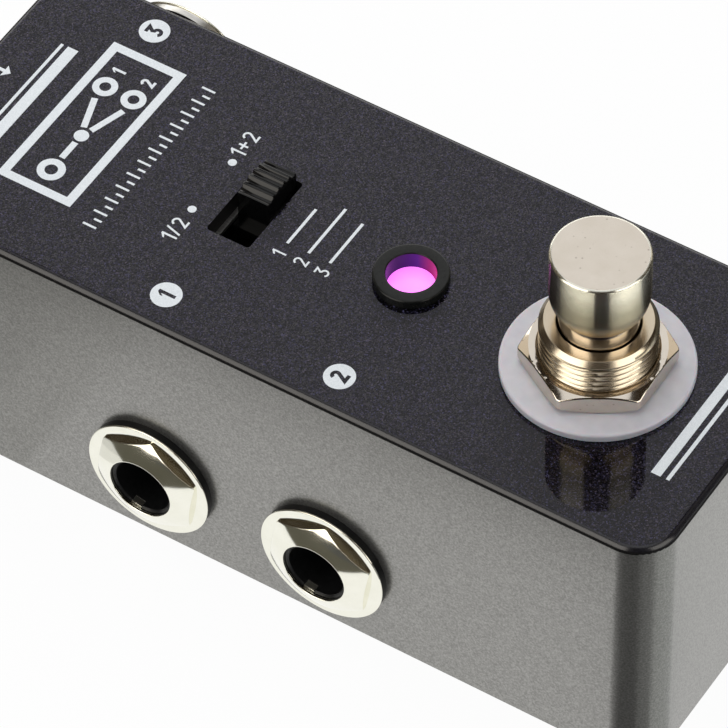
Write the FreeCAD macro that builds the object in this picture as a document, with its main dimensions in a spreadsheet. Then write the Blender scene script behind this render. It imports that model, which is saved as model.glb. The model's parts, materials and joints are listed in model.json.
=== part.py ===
import FreeCAD, Part
import math
import os

import Sketcher
from FreeCAD import Placement, Rotation, Vector

# A stompbox line selector: one common jack, two output jacks, a footswitch, a slide switch and a lamp.
# Millimetres. +Z up, the origin at the middle of the underside, +X towards the footswitch,
# -Y the long side with the two output jacks, +Y the long side with the common jack.

doc = FreeCAD.newDocument("LineSelector")
sheet = doc.addObject("Spreadsheet::Sheet", "Sizes")

driving = {
    # enclosure
    "shellLength": 93.5,
    "shellWidth": 37.4,
    "shellHeight": 33.4,
    "shellCorner": 4.5,
    "shellEdge": 0.8,
    "sideWall": 1.9,
    "topWall": 2.2,
    "bossRadius": 3.0,
    "bossInset": 4.4,
    # base plate and its screws
    "plateThickness": 1.5,
    "plateLip": 0.9,
    "plateGap": 0.15,
    "screwRadius": 1.5,
    "screwHeadRadius": 2.7,
    "screwLength": 9.0,
    "screwGap": 0.06,
    "screwTip": 0.4,
    "screwBlind": 0.5,
    "screwDriver": 3.0,
    "screwSlotWidth": 0.7,
    "screwSlotDepth": 0.8,
    # footswitch, outside
    "footInset": 17.55,
    "footCapRadius": 5.1,
    "footCapTop": 16.9,
    "footCapEdge": 0.35,
    "footCapSkirt": 11.85,
    "footCapBelly": 0.3,
    "footStemRadius": 4.1,
    "footStemTop": 9.0,
    "footCollarRadius": 4.26,
    "footCollarTop": 4.0,
    "footCollarLength": 4.0,
    "footRodRadius": 2.0,
    "footTravel": 2.0,
    "footThreadRadius": 6.0,
    "footBoreRadius": 4.33,
    "footBushTop": 7.0,
    "footBushChamfer": 0.5,
    "footHoleGap": 0.2,
    "footNutFlats": 14.0,
    "footNutThickness": 2.4,
    "footNutTurn": -89.0,
    "footThreadGap": 0.05,
    "footWasherRadius": 9.87,
    "footWasherThickness": 0.9,
    "footWasherEdge": 0.25,
    # footswitch, inside
    "lockWasherRadius": 8.0,
    "lockWasherThickness": 0.6,
    "innerNutThickness": 2.0,
    "footBodySide": 16.6,
    "footBodyCorner": 0.8,
    "footFrameSheet": 0.8,
    "footFrameSkirt": 5.0,
    "footFrameGap": 0.1,
    "footRodHoleGap": 0.3,
    "footRodReach": 1.2,
    "footRodRoom": 0.8,
    "springRadius": 4.1,
    "springWire": 0.7,
    "lugPitchX": 5.3,
    "lugPitchY": 4.8,
    "lugWidth": 2.2,
    "lugSheet": 0.8,
    "lugBelow": 2.6,
    "lugHoleGap": 0.15,
    # lamp
    "lampX": 7.4,
    "bezelRadius": 3.95,
    "bezelTop": 1.0,
    "bezelEdge": 0.2,
    "bezelBore": 2.6,
    "bezelBarrelRadius": 3.4,
    "bezelBarrelDepth": 6.0,
    "bezelHoleGap": 0.08,
    "lampRadius": 2.5,
    "lampSink": 0.95,
    "lampLength": 7.0,
    "lampRimRadius": 2.95,
    "lampRimThickness": 1.0,
    "leadPitch": 1.27,
    "leadSide": 0.5,
    "leadBelow": 1.0,
    "leadHoleRadius": 0.45,
    # slide switch
    "slideX": -11.3,
    "slotWidth": 5.15,
    "slotLength": 10.3,
    "slotCorner": 0.4,
    "knobWidth": 3.7,
    "knobLength": 5.3,
    "knobEnd": 1.3,
    "knobCrown": 0.8,
    "knobRib": 0.27,
    "knobRibs": 6,
    "knobHollow": 0.25,
    "slideTravel": 4.6,
    "slideFrameSheet": 0.5,
    "slideFrameWidth": 8.4,
    "slideFrameLength": 15.0,
    "slideWindowWidth": 4.1,
    "slideTabDrop": 3.4,
    "slideTabLength": 3.0,
    "slideBaseWidth": 7.2,
    "slideBaseLength": 14.4,
    "slideBaseHeight": 4.6,
    "slideFloor": 1.3,
    "sliderWidth": 5.4,
    "sliderLength": 7.0,
    "sliderThickness": 1.3,
    "sliderGap": 0.12,
    "bridgeWidth": 4.0,
    "bridgeLength": 4.6,
    "bridgeSheet": 0.3,
    "slidePinPitchX": 2.5,
    "slidePinPitchY": 4.0,
    "slidePinWidth": 0.8,
    "slidePinSheet": 0.5,
    "slidePinHead": 0.2,
    "slidePinBelow": 1.0,
    # jacks, in each jack's own frame
    "outputOneX": -12.3,
    "outputTwoX": 8.8,
    "commonInset": 14.25,
    "commonGap": 0.6,
    "jackWidth": 11.5,
    "jackDeep": 21.5,
    "jackFar": 4.6,
    "jackBoardSide": 5.5,
    "jackCorner": 0.8,
    "jackBore": 3.25,
    "jackBoreLength": 12.0,
    "jackChamber": 3.9,
    "jackBackWall": 1.0,
    "jackThreadRadius": 4.5,
    "jackThreadTop": 1.65,
    "jackEndRadius": 3.9,
    "jackEndTop": 2.15,
    "jackMouthChamfer": 0.15,
    "jackNotchWidth": 1.3,
    "jackNotchDepth": 0.8,
    "jackNotchTurn": -104.0,
    "jackNotchRim": 0.3,
    "jackTabSheet": 0.55,
    "jackTabGap": 0.05,
    "jackHoleGap": 0.15,
    "jackWasherRadius": 7.2,
    "jackWasherThickness": 0.85,
    "jackNutFlange": 7.3,
    "jackNutFlangeThickness": 0.2,
    "jackNutFlats": 11.2,
    "jackNutShoulder": 0.2,
    "jackNutDome": 1.01,
    "jackNutTop": 1.7,
    "jackNutDomeRadius": 5.4,
    "jackNutLip": 3.65,
    "jackNutLipEdge": 0.15,
    "jackNutLipDepth": 0.3,
    "jackNutRoomDepth": 0.75,
    "jackNutTurn": 82.7,
    "jackThreadGap": 0.05,
    "contactSheet": 0.35,
    "contactWidth": 2.0,
    "contactSlotGap": 0.2,
    "contactLeaf": 3.35,
    "tipContactDeep": 20.6,
    "tipContactReach": 5.2,
    "tipContactDip": 1.5,
    "sleeveContactDeep": 15.0,
    "sleeveContactReach": 3.4,
    "sleeveContactDip": 0.6,
    "contactBeyondBoard": 1.0,
    # power jack
    "powerWidth": 9.0,
    "powerTall": 10.0,
    "powerBoardSide": 5.5,
    "powerDeep": 13.5,
    "powerSnout": 4.3,
    "powerSnoutLength": 1.5,
    "powerHoleGap": 0.15,
    "powerBore": 3.2,
    "powerBoreDepth": 10.0,
    "powerPinRadius": 1.0,
    "powerRootRadius": 0.8,
    "powerShoulderGap": 0.1,
    "powerPinSink": 1.6,
    "powerPinTip": 0.3,
    "powerPinGap": 0.05,
    "powerContactDeep": 9.0,
    "powerContactLeaf": 3.4,
    "powerContactReach": 4.0,
    "powerContactDip": 0.7,
    # boards
    "boardThickness": 1.6,
    "boardEndGap": 8.25,
    "boardSideGap": 0.6,
    "upperBoardBeyond": 5.6,
    "headerX": -12.0,
    "headerInset": 2.7,
    "headerHeight": 2.3,
    "headerPitch": 2.54,
    "headerWidth": 2.5,
    "headerPinSide": 0.64,
    "headerPinBeyond": 1.2,
    "headerHoleRadius": 0.5,
    # parts on the boards
    "capacitorRadius": 2.5,
    "capacitorHeight": 7.0,
    "capacitorBehind": 3.35,
    "capacitorY": 6.0,
    "chipLength": 1.6,
    "chipWidth": 0.8,
    "chipHeight": 0.5,
    "chipPitch": 2.2,
    "chipBehind": 11.35,
    "chipInset": 5.8,
    "diodeLength": 4.4,
    "diodeWidth": 2.6,
    "diodeHeight": 2.1,
    "diodeBehind": 4.35,
}


class Length:
    # a number together with the sheet formula that gives it
    def __init__(self, number, formula):
        self.number = number
        self.formula = formula

    def joined(self, sign, other, number):
        return Length(number, f"({self.formula} {sign} {other.formula})")

    def __add__(self, other):
        other = asLength(other)
        return self.joined("+", other, self.number + other.number)

    def __sub__(self, other):
        other = asLength(other)
        return self.joined("-", other, self.number - other.number)

    def __mul__(self, other):
        other = asLength(other)
        return self.joined("*", other, self.number * other.number)

    def __truediv__(self, other):
        other = asLength(other)
        return self.joined("/", other, self.number / other.number)

    def __neg__(self):
        return Length(-self.number, f"(-1 * {self.formula})")

    def __radd__(self, other):
        return asLength(other) + self

    def __rsub__(self, other):
        return asLength(other) - self

    def __rmul__(self, other):
        return asLength(other) * self


def asLength(value):
    return value if isinstance(value, Length) else Length(float(value), f"{float(value):.9g}")


class Sizes:
    # size.word reads the cell called word
    def __getattr__(self, word):
        return Length(driving[word], f"Sizes.{word}")


for row, (word, value) in enumerate(driving.items(), start=1):
    sheet.set(f"A{row}", word)
    sheet.set(f"B{row}", str(value))
    sheet.setAlias(f"B{row}", word)
doc.recompute()
size = Sizes()


def bind(thing, path, value):
    thing.setExpression(path, asLength(value).formula)


def place(thing, at, turned=None):
    if turned:
        thing.Placement = Placement(Vector(), turned)
    for letter, value in zip("xyz", at):
        bind(thing, f"Placement.Base.{letter}", value)
    return thing


# sketches

def newBody(name):
    body = doc.addObject("PartDesign::Body", name)
    body.Label = name
    return body


def newSketch(body, plane, lift=0.0, turn=None):
    sketch = body.newObject("Sketcher::SketchObject", f"{body.Name}_sketch")
    origin = next(item for item in body.Origin.OriginFeatures if item.Role == plane)
    sketch.AttachmentSupport = [(origin, "")]
    sketch.MapMode = "FlatFace"
    bind(sketch, "AttachmentOffset.Base.z", lift)
    if turn is not None:
        bind(sketch, "AttachmentOffset.Rotation.Angle", turn)
    return sketch


def pin(sketch, edge, end, x, y):
    # ties one end of an edge to its place
    for kind, value in (("DistanceX", asLength(x)), ("DistanceY", asLength(y))):
        index = sketch.addConstraint(Sketcher.Constraint(kind, -1, 1, edge, end, value.number))
        sketch.renameConstraint(index, f"c{index}")
        sketch.setExpression(f"Constraints.c{index}", value.formula)


def flat(x, y):
    return Vector(asLength(x).number, asLength(y).number, 0)


def drawLoop(sketch, corners):
    # corners are (x, y), or (x, y, viaX, viaY) where the run that ends there is an arc
    base = sketch.GeometryCount
    ends = []
    for index, corner in enumerate(corners):
        before = flat(*corners[index - 1][:2])
        here = flat(*corner[:2])
        if len(corner) == 2:
            sketch.addGeometry(Part.LineSegment(before, here))
            ends.append((1, 2))
            continue
        via = flat(*corner[2:])
        curve = Part.Arc(before, via, here).toShape().Curve
        forward = (via - before).cross(here - via).z > 0
        circle = Part.Circle(curve.Center, Vector(0, 0, 1), curve.Radius)
        first, last = (before, here) if forward else (here, before)
        sketch.addGeometry(Part.ArcOfCircle(circle, circle.parameter(first), circle.parameter(last)))
        ends.append((1, 2) if forward else (2, 1))
    count = len(corners)
    for index in range(count):
        after = (index + 1) % count
        sketch.addConstraint(Sketcher.Constraint("Coincident", base + index, ends[index][1],
                                                 base + after, ends[after][0]))
    for index, corner in enumerate(corners):
        pin(sketch, base + index, ends[index][1], *corner[:2])
        if len(corner) == 4:
            guide = sketch.addGeometry(Part.Point(flat(*corner[2:])), True)
            pin(sketch, guide, 1, *corner[2:])
            sketch.addConstraint(Sketcher.Constraint("PointOnObject", guide, 1, base + index))


def drawBox(sketch, x, y):
    drawLoop(sketch, [(x[0], y[0]), (x[1], y[0]), (x[1], y[1]), (x[0], y[1])])


def drawCircle(sketch, x, y, radius):
    radius = asLength(radius)
    index = sketch.addGeometry(Part.Circle(flat(x, y), Vector(0, 0, 1), radius.number))
    pin(sketch, index, 3, x, y)
    rule = sketch.addConstraint(Sketcher.Constraint("Radius", index, radius.number))
    sketch.renameConstraint(rule, f"c{rule}")
    sketch.setExpression(f"Constraints.c{rule}", radius.formula)


def hexCorner(flats):
    return flats / (2 * math.cos(math.radians(30)))


def drawHexagon(sketch, flats):
    corner = hexCorner(flats)
    turns = [math.radians(60 * step) for step in range(6)]
    drawLoop(sketch, [(corner * math.cos(angle), corner * math.sin(angle)) for angle in turns])


# features

def pad(body, sketch, length, reverse=False, middle=False):
    feature = body.newObject("PartDesign::Pad", f"{body.Name}_pad")
    feature.Profile = sketch
    feature.Reversed = reverse
    feature.Midplane = middle
    bind(feature, "Length", length)
    return feature


def pocket(body, sketch, length, reverse=False, middle=False):
    feature = body.newObject("PartDesign::Pocket", f"{body.Name}_pocket")
    feature.Profile = sketch
    feature.Reversed = reverse
    feature.Midplane = middle
    bind(feature, "Length", length)
    return feature


def spin(body, corners, kind="PartDesign::Revolution"):
    # turns a profile of (radius, height) corners about the body's own Z
    sketch = newSketch(body, "XZ_Plane")
    drawLoop(sketch, corners)
    feature = body.newObject(kind, f"{body.Name}_spin")
    feature.Profile = sketch
    feature.ReferenceAxis = (sketch, ["V_Axis"])
    return feature


def edgesWhere(feature, test):
    doc.recompute()
    return [f"Edge{number}" for number, edge in enumerate(feature.Shape.Edges, start=1) if test(edge)]


def soften(body, feature, radius, test, kind="PartDesign::Fillet"):
    rounded = body.newObject(kind, f"{body.Name}_edge")
    rounded.Base = (feature, edgesWhere(feature, test))
    bind(rounded, "Size" if kind.endswith("Chamfer") else "Radius", radius)
    return rounded


def upright(edge):
    box = edge.BoundBox
    return box.ZLength > 0.1 and box.XLength < 1e-6 and box.YLength < 1e-6


def atHeight(height):
    return lambda edge: abs(edge.BoundBox.ZMin - height) < 1e-6 and abs(edge.BoundBox.ZMax - height) < 1e-6


# plain solids for hidden pieces

def box(name, x, y, z):
    piece = doc.addObject("Part::Box", name)
    for path, span in (("Length", x), ("Width", y), ("Height", z)):
        bind(piece, path, asLength(span[1]) - span[0])
    return place(piece, (x[0], y[0], z[0]))


def rod(name, radius, middle, z):
    piece = doc.addObject("Part::Cylinder", name)
    bind(piece, "Radius", radius)
    bind(piece, "Height", asLength(z[1]) - z[0])
    return place(piece, (middle[0], middle[1], z[0]))


def gather(name, pieces):
    group = doc.addObject("Part::Compound", name)
    group.Links = pieces
    return group


def around(middle, span):
    return (middle - span / 2, middle + span / 2)


def roundedBox(sketch, x, y, radius):
    # a rectangle whose corners are quarter arcs
    bulge = radius * (1 - math.sqrt(0.5))
    corners = []
    for side, end in ((0, 0), (1, 0), (1, 1), (0, 1)):
        inX = 1 if side == 0 else -1
        inY = 1 if end == 0 else -1
        onX = (x[side] + inX * radius, y[end])
        onY = (x[side], y[end] + inY * radius)
        via = (x[side] + inX * bulge, y[end] + inY * bulge)
        first, last = (onY, onX) if side == end else (onX, onY)
        corners += [first, (*last, *via)]
    drawLoop(sketch, corners)


endX = size.shellLength / 2
endY = size.shellWidth / 2
top = size.shellHeight
ceiling = top - size.topWall
innerX = endX - size.sideWall
innerY = endY - size.sideWall
bossSpots = [(sideX * (endX - size.bossInset), sideY * (endY - size.bossInset))
             for sideX in (-1, 1) for sideY in (-1, 1)]
footX = endX - size.footInset
commonX = size.commonInset - endX
commonHeight = ceiling - size.commonGap - size.jackFar
upperTop = commonHeight - size.jackBoardSide
upperUnder = upperTop - size.boardThickness
boardTop = upperUnder - size.headerHeight
boardUnder = boardTop - size.boardThickness
jackHeight = boardUnder - size.jackBoardSide
powerHeight = boardUnder - size.powerBoardSide
powerEndX = size.sideWall + size.powerDeep - endX
boardEnd = endX - size.boardEndGap
boardSide = innerY - size.boardSideGap
nodes = []


def keep(name, piece):
    piece.Label = name
    nodes.append(piece)
    return piece


# enclosure

def makeShell():
    body = keep("enclosure_shell", newBody("enclosure_shell"))
    outline = newSketch(body, "XY_Plane")
    drawBox(outline, (-endX, endX), (-endY, endY))
    block = pad(body, outline, top)
    sides = soften(body, block, size.shellCorner, upright)
    soften(body, sides, size.shellEdge, atHeight(driving["shellHeight"]))
    cavity = newSketch(body, "XY_Plane")
    roundedBox(cavity, (-innerX, innerX), (-innerY, innerY), size.shellCorner - size.sideWall)
    pocket(body, cavity, ceiling, reverse=True)
    bosses = newSketch(body, "XY_Plane", size.plateThickness)
    for x, y in bossSpots:
        drawCircle(bosses, x, y, size.bossRadius)
    pad(body, bosses, ceiling - size.plateThickness)
    rebate = newSketch(body, "XY_Plane")
    rimX = endX - size.plateLip
    rimY = endY - size.plateLip
    roundedBox(rebate, (-rimX, rimX), (-rimY, rimY), size.shellCorner - size.plateLip)
    pocket(body, rebate, size.plateThickness, reverse=True)
    screws = newSketch(body, "XY_Plane", size.plateThickness)
    for x, y in bossSpots:
        drawCircle(screws, x, y, size.screwRadius + size.screwGap)
    pocket(body, screws, size.screwLength - size.plateThickness + size.screwBlind, reverse=True)
    panel = newSketch(body, "XY_Plane", top)
    drawCircle(panel, footX, 0, size.footThreadRadius + size.footHoleGap)
    drawCircle(panel, size.lampX, 0, size.bezelBarrelRadius + size.bezelHoleGap)
    slot = (around(size.slideX, size.slotWidth), around(asLength(0), size.slotLength))
    roundedBox(panel, *slot, size.slotCorner)
    pocket(body, panel, size.topWall)
    jackHole = size.jackThreadRadius + size.jackHoleGap
    outputs = newSketch(body, "XZ_Plane", endY)
    for x in (size.outputOneX, size.outputTwoX):
        drawCircle(outputs, x, jackHeight, jackHole)
    pocket(body, outputs, size.sideWall)
    common = newSketch(body, "XZ_Plane", -endY)
    drawCircle(common, commonX, commonHeight, jackHole)
    pocket(body, common, size.sideWall, reverse=True)
    power = newSketch(body, "YZ_Plane", -endX)
    drawCircle(power, 0, powerHeight, size.powerSnout + size.powerHoleGap)
    pocket(body, power, size.sideWall, reverse=True)


def makeBasePlate():
    body = keep("base_plate", newBody("base_plate"))
    outline = newSketch(body, "XY_Plane")
    inset = size.plateLip + size.plateGap
    reachX = endX - inset
    reachY = endY - inset
    roundedBox(outline, (-reachX, reachX), (-reachY, reachY), size.shellCorner - inset)
    pad(body, outline, size.plateThickness)
    holes = newSketch(body, "XY_Plane")
    for x, y in bossSpots:
        drawCircle(holes, x, y, size.screwRadius + size.screwGap)
    drilled = pocket(body, holes, size.plateThickness, reverse=True)
    reach = driving["screwRadius"] + driving["screwGap"]

    def isHoleMouth(edge):
        return atHeight(0)(edge) and abs(edge.BoundBox.XLength - 2 * reach) < 1e-4

    soften(body, drilled, size.screwHeadRadius - size.screwRadius, isHoleMouth, "PartDesign::Chamfer")


def makeBaseScrews():
    screws = []
    slant = size.screwHeadRadius - size.screwRadius
    tip = size.screwTip
    for number, (x, y) in enumerate(bossSpots, start=1):
        screw = newBody(f"screw_{number}")
        spin(screw, [(0, 0), (size.screwHeadRadius, 0), (size.screwRadius, slant),
                     (size.screwRadius, size.screwLength - tip),
                     (size.screwRadius - tip, size.screwLength), (0, size.screwLength)])
        half = size.screwDriver / 2
        arm = size.screwSlotWidth / 2
        cross = newSketch(screw, "XY_Plane")
        drawLoop(cross, [(-half, -arm), (-arm, -arm), (-arm, -half), (arm, -half), (arm, -arm), (half, -arm),
                         (half, arm), (arm, arm), (arm, half), (-arm, half), (-arm, arm), (-half, arm)])
        pocket(screw, cross, size.screwSlotDepth, reverse=True)
        screws.append(place(screw, (x, y, 0)))
    keep("base_screws", gather("base_screws", screws))


# footswitch: heights here are above the top panel

washerTop = size.footWasherThickness
nutTop = washerTop + size.footNutThickness
lockUnder = -size.topWall - size.lockWasherThickness
innerNutUnder = lockUnder - size.innerNutThickness
frameUnder = innerNutUnder - size.footFrameSheet
rodEnd = frameUnder - size.footRodReach
collarEnd = size.footCollarTop - size.footCollarLength
footOrigin = (footX, 0, top)
threadFit = size.footThreadRadius + size.footThreadGap


def makeFootCap():
    body = keep("footswitch_cap", newBody("footswitch_cap"))
    cap = size.footCapRadius
    edge = size.footCapEdge
    stem = size.footStemRadius
    waist = (size.footCapSkirt + size.footStemTop) / 2
    spin(body, [(0, rodEnd), (size.footRodRadius, rodEnd), (size.footRodRadius, collarEnd),
                (size.footCollarRadius, collarEnd), (size.footCollarRadius, size.footCollarTop),
                (stem, size.footCollarTop), (stem, size.footStemTop),
                (cap, size.footCapSkirt, (cap + stem) / 2 + size.footCapBelly, waist),
                (cap, size.footCapTop - edge), (cap - edge, size.footCapTop),
                (0, size.footCapTop)])
    place(body, footOrigin)


def makeFootBushing():
    body = keep("footswitch_bushing", newBody("footswitch_bushing"))
    bore = size.footBoreRadius
    outer = size.footThreadRadius
    chamfer = size.footBushChamfer
    spin(body, [(bore, innerNutUnder), (outer, innerNutUnder), (outer, size.footBushTop - chamfer),
                (outer - chamfer, size.footBushTop), (bore, size.footBushTop)])
    place(body, footOrigin)


def makeHexNut(name, under, thickness):
    # both faces are turned back to a circle at the corners
    body = keep(name, newBody(name))
    outline = newSketch(body, "XY_Plane", under, size.footNutTurn)
    drawHexagon(outline, size.footNutFlats)
    drawCircle(outline, 0, 0, threadFit)
    pad(body, outline, thickness)
    flatRadius = size.footNutFlats / 2
    beyond = hexCorner(size.footNutFlats) + 1
    drop = (beyond - flatRadius) * math.tan(math.radians(30))
    high = under + thickness
    for face, way in ((high, -1), (under, 1)):
        spin(body, [(flatRadius, face), (beyond, face), (beyond, face + way * drop)], "PartDesign::Groove")
    place(body, footOrigin)


def makeFootWasher():
    body = keep("footswitch_washer", newBody("footswitch_washer"))
    edge = size.footWasherEdge
    outer = size.footWasherRadius
    spin(body, [(threadFit, 0), (outer, 0), (outer, washerTop - edge),
                (outer - edge, washerTop), (threadFit, washerTop)])
    place(body, footOrigin)


def makeLockWasher():
    body = keep("footswitch_lock_washer", newBody("footswitch_lock_washer"))
    ring = newSketch(body, "XY_Plane", lockUnder)
    drawCircle(ring, 0, 0, size.lockWasherRadius)
    drawCircle(ring, 0, 0, threadFit)
    pad(body, ring, size.lockWasherThickness)
    place(body, footOrigin)


def makeFootFrame():
    # a bent channel whose two skirts grip the moulded block
    body = keep("footswitch_frame", newBody("footswitch_frame"))
    inner = size.footBodySide / 2 + size.footFrameGap
    outer = inner + size.footFrameSheet
    skirt = frameUnder - size.footFrameSkirt
    profile = newSketch(body, "XZ_Plane")
    drawLoop(profile, [(-outer, skirt), (-inner, skirt), (-inner, frameUnder), (inner, frameUnder),
                       (inner, skirt), (outer, skirt), (outer, innerNutUnder), (-outer, innerNutUnder)])
    pad(body, profile, size.footBodySide, middle=True)
    hole = newSketch(body, "XY_Plane", innerNutUnder)
    drawCircle(hole, 0, 0, size.footRodRadius + size.footRodHoleGap)
    pocket(body, hole, size.footFrameSheet)
    place(body, footOrigin)


def makeFootBody():
    body = keep("footswitch_body", newBody("footswitch_body"))
    half = size.footBodySide / 2
    outline = newSketch(body, "XY_Plane", boardTop - top)
    roundedBox(outline, (-half, half), (-half, half), size.footBodyCorner)
    pad(body, outline, frameUnder - (boardTop - top))
    well = newSketch(body, "XY_Plane", frameUnder)
    drawCircle(well, 0, 0, size.footRodRadius + size.footRodHoleGap)
    pocket(body, well, size.footRodReach + size.footTravel + size.footRodRoom)
    place(body, footOrigin)


lugSpots = [(footX + column * size.lugPitchX, row * size.lugPitchY)
            for column in (-1, 0, 1) for row in (-1, 0, 1)]


def makeFootTerminals():
    lugs = [box(f"lug_{number}", around(x, size.lugSheet), around(y, size.lugWidth),
                (boardUnder - size.lugBelow, boardTop))
            for number, (x, y) in enumerate(lugSpots, start=1)]
    keep("footswitch_terminals", gather("footswitch_terminals", lugs))


def makeFootSpring():
    body = keep("footswitch_spring", newBody("footswitch_spring"))
    ring = newSketch(body, "XY_Plane", innerNutUnder)
    drawCircle(ring, 0, 0, size.springRadius)
    drawCircle(ring, 0, 0, size.springRadius - size.springWire)
    pad(body, ring, collarEnd - innerNutUnder)
    place(body, footOrigin)


# lamp: heights here are above the top panel

lampOrigin = (size.lampX, 0, top)


def makeBezel():
    body = keep("led_bezel", newBody("led_bezel"))
    edge = size.bezelEdge
    rim = size.bezelRadius
    high = size.bezelTop
    spin(body, [(size.bezelBore, -size.bezelBarrelDepth), (size.bezelBarrelRadius, -size.bezelBarrelDepth),
                (size.bezelBarrelRadius, 0), (rim, 0), (rim, high - edge),
                (rim - edge, high), (size.bezelBore, high)])
    place(body, lampOrigin)


lampUnder = -size.lampSink - size.lampLength


def makeLamp():
    body = keep("led_lamp", newBody("led_lamp"))
    rimTop = lampUnder + size.lampRimThickness
    spin(body, [(0, lampUnder), (size.lampRimRadius, lampUnder), (size.lampRimRadius, rimTop),
                (size.lampRadius, rimTop), (size.lampRadius, -size.lampSink), (0, -size.lampSink)])
    place(body, lampOrigin)


leadSpots = [(size.lampX + step * size.leadPitch, 0) for step in (-1.5, -0.5, 0.5, 1.5)]


def makeLeads():
    leads = [box(f"lead_{number}", around(x, size.leadSide), around(asLength(y), size.leadSide),
                 (upperUnder - size.leadBelow, top + lampUnder))
             for number, (x, y) in enumerate(leadSpots, start=1)]
    keep("led_leads", gather("led_leads", leads))


# slide switch: heights here are above the top panel, the knob stands at the +Y end of its travel

slideOrigin = (size.slideX, 0, top)
slideRest = size.slideTravel / 2
frameTop = -size.topWall
slideFrameUnder = frameTop - size.slideFrameSheet
slideBaseUnder = slideFrameUnder - size.slideBaseHeight
slideFloor = slideBaseUnder + size.slideFloor
sliderTop = slideFrameUnder - size.sliderGap
sliderUnder = sliderTop - size.sliderThickness
pinHeadTop = slideFloor + size.slidePinHead
slidePinSpots = [(column * size.slidePinPitchX, row * size.slidePinPitchY)
                 for column in (-1, 1) for row in (-1, 0, 1)]


def makeSlideKnob():
    body = keep("slide_switch_knob", newBody("slide_switch_knob"))
    plate = newSketch(body, "XY_Plane", sliderUnder)
    drawBox(plate, around(asLength(0), size.sliderWidth), around(asLength(0), size.sliderLength))
    pad(body, plate, size.sliderThickness)
    half = size.knobLength / 2
    rib = size.knobRib / 2
    spaces = int(size.knobRibs.number) - 1
    outline = [(half, sliderTop)]
    for step in range(spaces + 1):
        # thin ribs that follow the crown, with a round hollow before each but the first
        along = 1 - 2 * step / spaces
        hollow = along + 1 / spaces
        crown = size.knobEnd + size.knobCrown * (1 - along * along)
        low = size.knobEnd + size.knobCrown * (1 - hollow * hollow) - size.knobHollow
        near = (half - rib) * along + rib
        outline.append((near, crown, (half - rib) * hollow, low) if step else (near, crown))
        outline.append((near - rib * 2, crown))
    outline.append((-half, sliderTop))
    profile = newSketch(body, "YZ_Plane")
    drawLoop(profile, outline)
    pad(body, profile, size.knobWidth, middle=True)
    place(body, (size.slideX, slideRest, top))


def makeSlideContact():
    # a bent bridge under the slider, clear of the pin heads
    body = keep("slide_switch_contact", newBody("slide_switch_contact"))
    half = size.bridgeLength / 2
    sheet = size.bridgeSheet
    foot = pinHeadTop + size.sliderGap
    profile = newSketch(body, "YZ_Plane")
    drawLoop(profile, [(-half, foot), (sheet - half, foot), (sheet - half, sliderUnder - sheet),
                       (half - sheet, sliderUnder - sheet), (half - sheet, foot), (half, foot),
                       (half, sliderUnder), (-half, sliderUnder)])
    pad(body, profile, size.bridgeWidth, middle=True)
    place(body, (size.slideX, slideRest, top))


def makeSlideFrame():
    body = keep("slide_switch_frame", newBody("slide_switch_frame"))
    plate = newSketch(body, "XY_Plane", slideFrameUnder)
    drawBox(plate, around(asLength(0), size.slideFrameWidth), around(asLength(0), size.slideFrameLength))
    drawBox(plate, around(asLength(0), size.slideWindowWidth), around(asLength(0), size.slotLength))
    pad(body, plate, size.slideFrameSheet)
    tabs = newSketch(body, "XY_Plane", slideFrameUnder)
    outer = size.slideFrameWidth / 2
    inner = outer - size.slideFrameSheet
    reach = size.slideFrameLength / 2
    for left, right in ((-outer, -inner), (inner, outer)):
        drawBox(tabs, (left, right), (-reach, size.slideTabLength - reach))
        drawBox(tabs, (left, right), (reach - size.slideTabLength, reach))
    pad(body, tabs, size.slideTabDrop, reverse=True)
    place(body, slideOrigin)


def makeSlideBase():
    body = keep("slide_switch_base", newBody("slide_switch_base"))
    block = newSketch(body, "XY_Plane", slideBaseUnder)
    drawBox(block, around(asLength(0), size.slideBaseWidth), around(asLength(0), size.slideBaseLength))
    pad(body, block, size.slideBaseHeight)
    well = newSketch(body, "XY_Plane", slideFrameUnder)
    wellLength = size.sliderLength + size.slideTravel + size.sliderGap * 2
    drawBox(well, around(asLength(0), size.sliderWidth + size.sliderGap * 2), around(asLength(0), wellLength))
    pocket(body, well, slideFrameUnder - slideFloor)
    slots = newSketch(body, "XY_Plane", slideFloor)
    for x, y in slidePinSpots:
        drawBox(slots, around(x, size.slidePinSheet), around(y, size.slidePinWidth))
    pocket(body, slots, size.slideFloor)
    place(body, slideOrigin)


def makeSlideTerminals():
    pins = [box(f"slide_pin_{number}", around(size.slideX + x, size.slidePinSheet),
                around(y, size.slidePinWidth), (upperUnder - size.slidePinBelow, top + pinHeadTop))
            for number, (x, y) in enumerate(slidePinSpots, start=1)]
    keep("slide_switch_terminals", gather("slide_switch_terminals", pins))


# jacks: in a jack's own frame the wall's outer face is at 0, +Z leaves the box and +Y goes to the board

towardFront = Rotation(Vector(1, 0, 0), 90)
towardBack = Rotation(Vector(1, 0, 0), -90)
towardEnd = Rotation(Vector(0, -1, 0), Vector(0, 0, 1), Vector(-1, 0, 0), "ZXY")
jacks = {
    "output_jack_1": ((size.outputOneX, -endY, jackHeight), towardFront),
    "output_jack_2": ((size.outputTwoX, -endY, jackHeight), towardFront),
    "common_jack": ((commonX, endY, commonHeight), towardBack),
}
jackBack = -size.sideWall - size.jackDeep
jackFit = size.jackThreadRadius + size.jackThreadGap
pinReach = size.jackBoardSide + size.boardThickness + size.contactBeyondBoard
contacts = {
    "tip_contact": (size.tipContactDeep, size.tipContactReach, size.tipContactDip),
    "sleeve_contact": (size.sleeveContactDeep, size.sleeveContactReach, size.sleeveContactDip),
}


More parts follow.
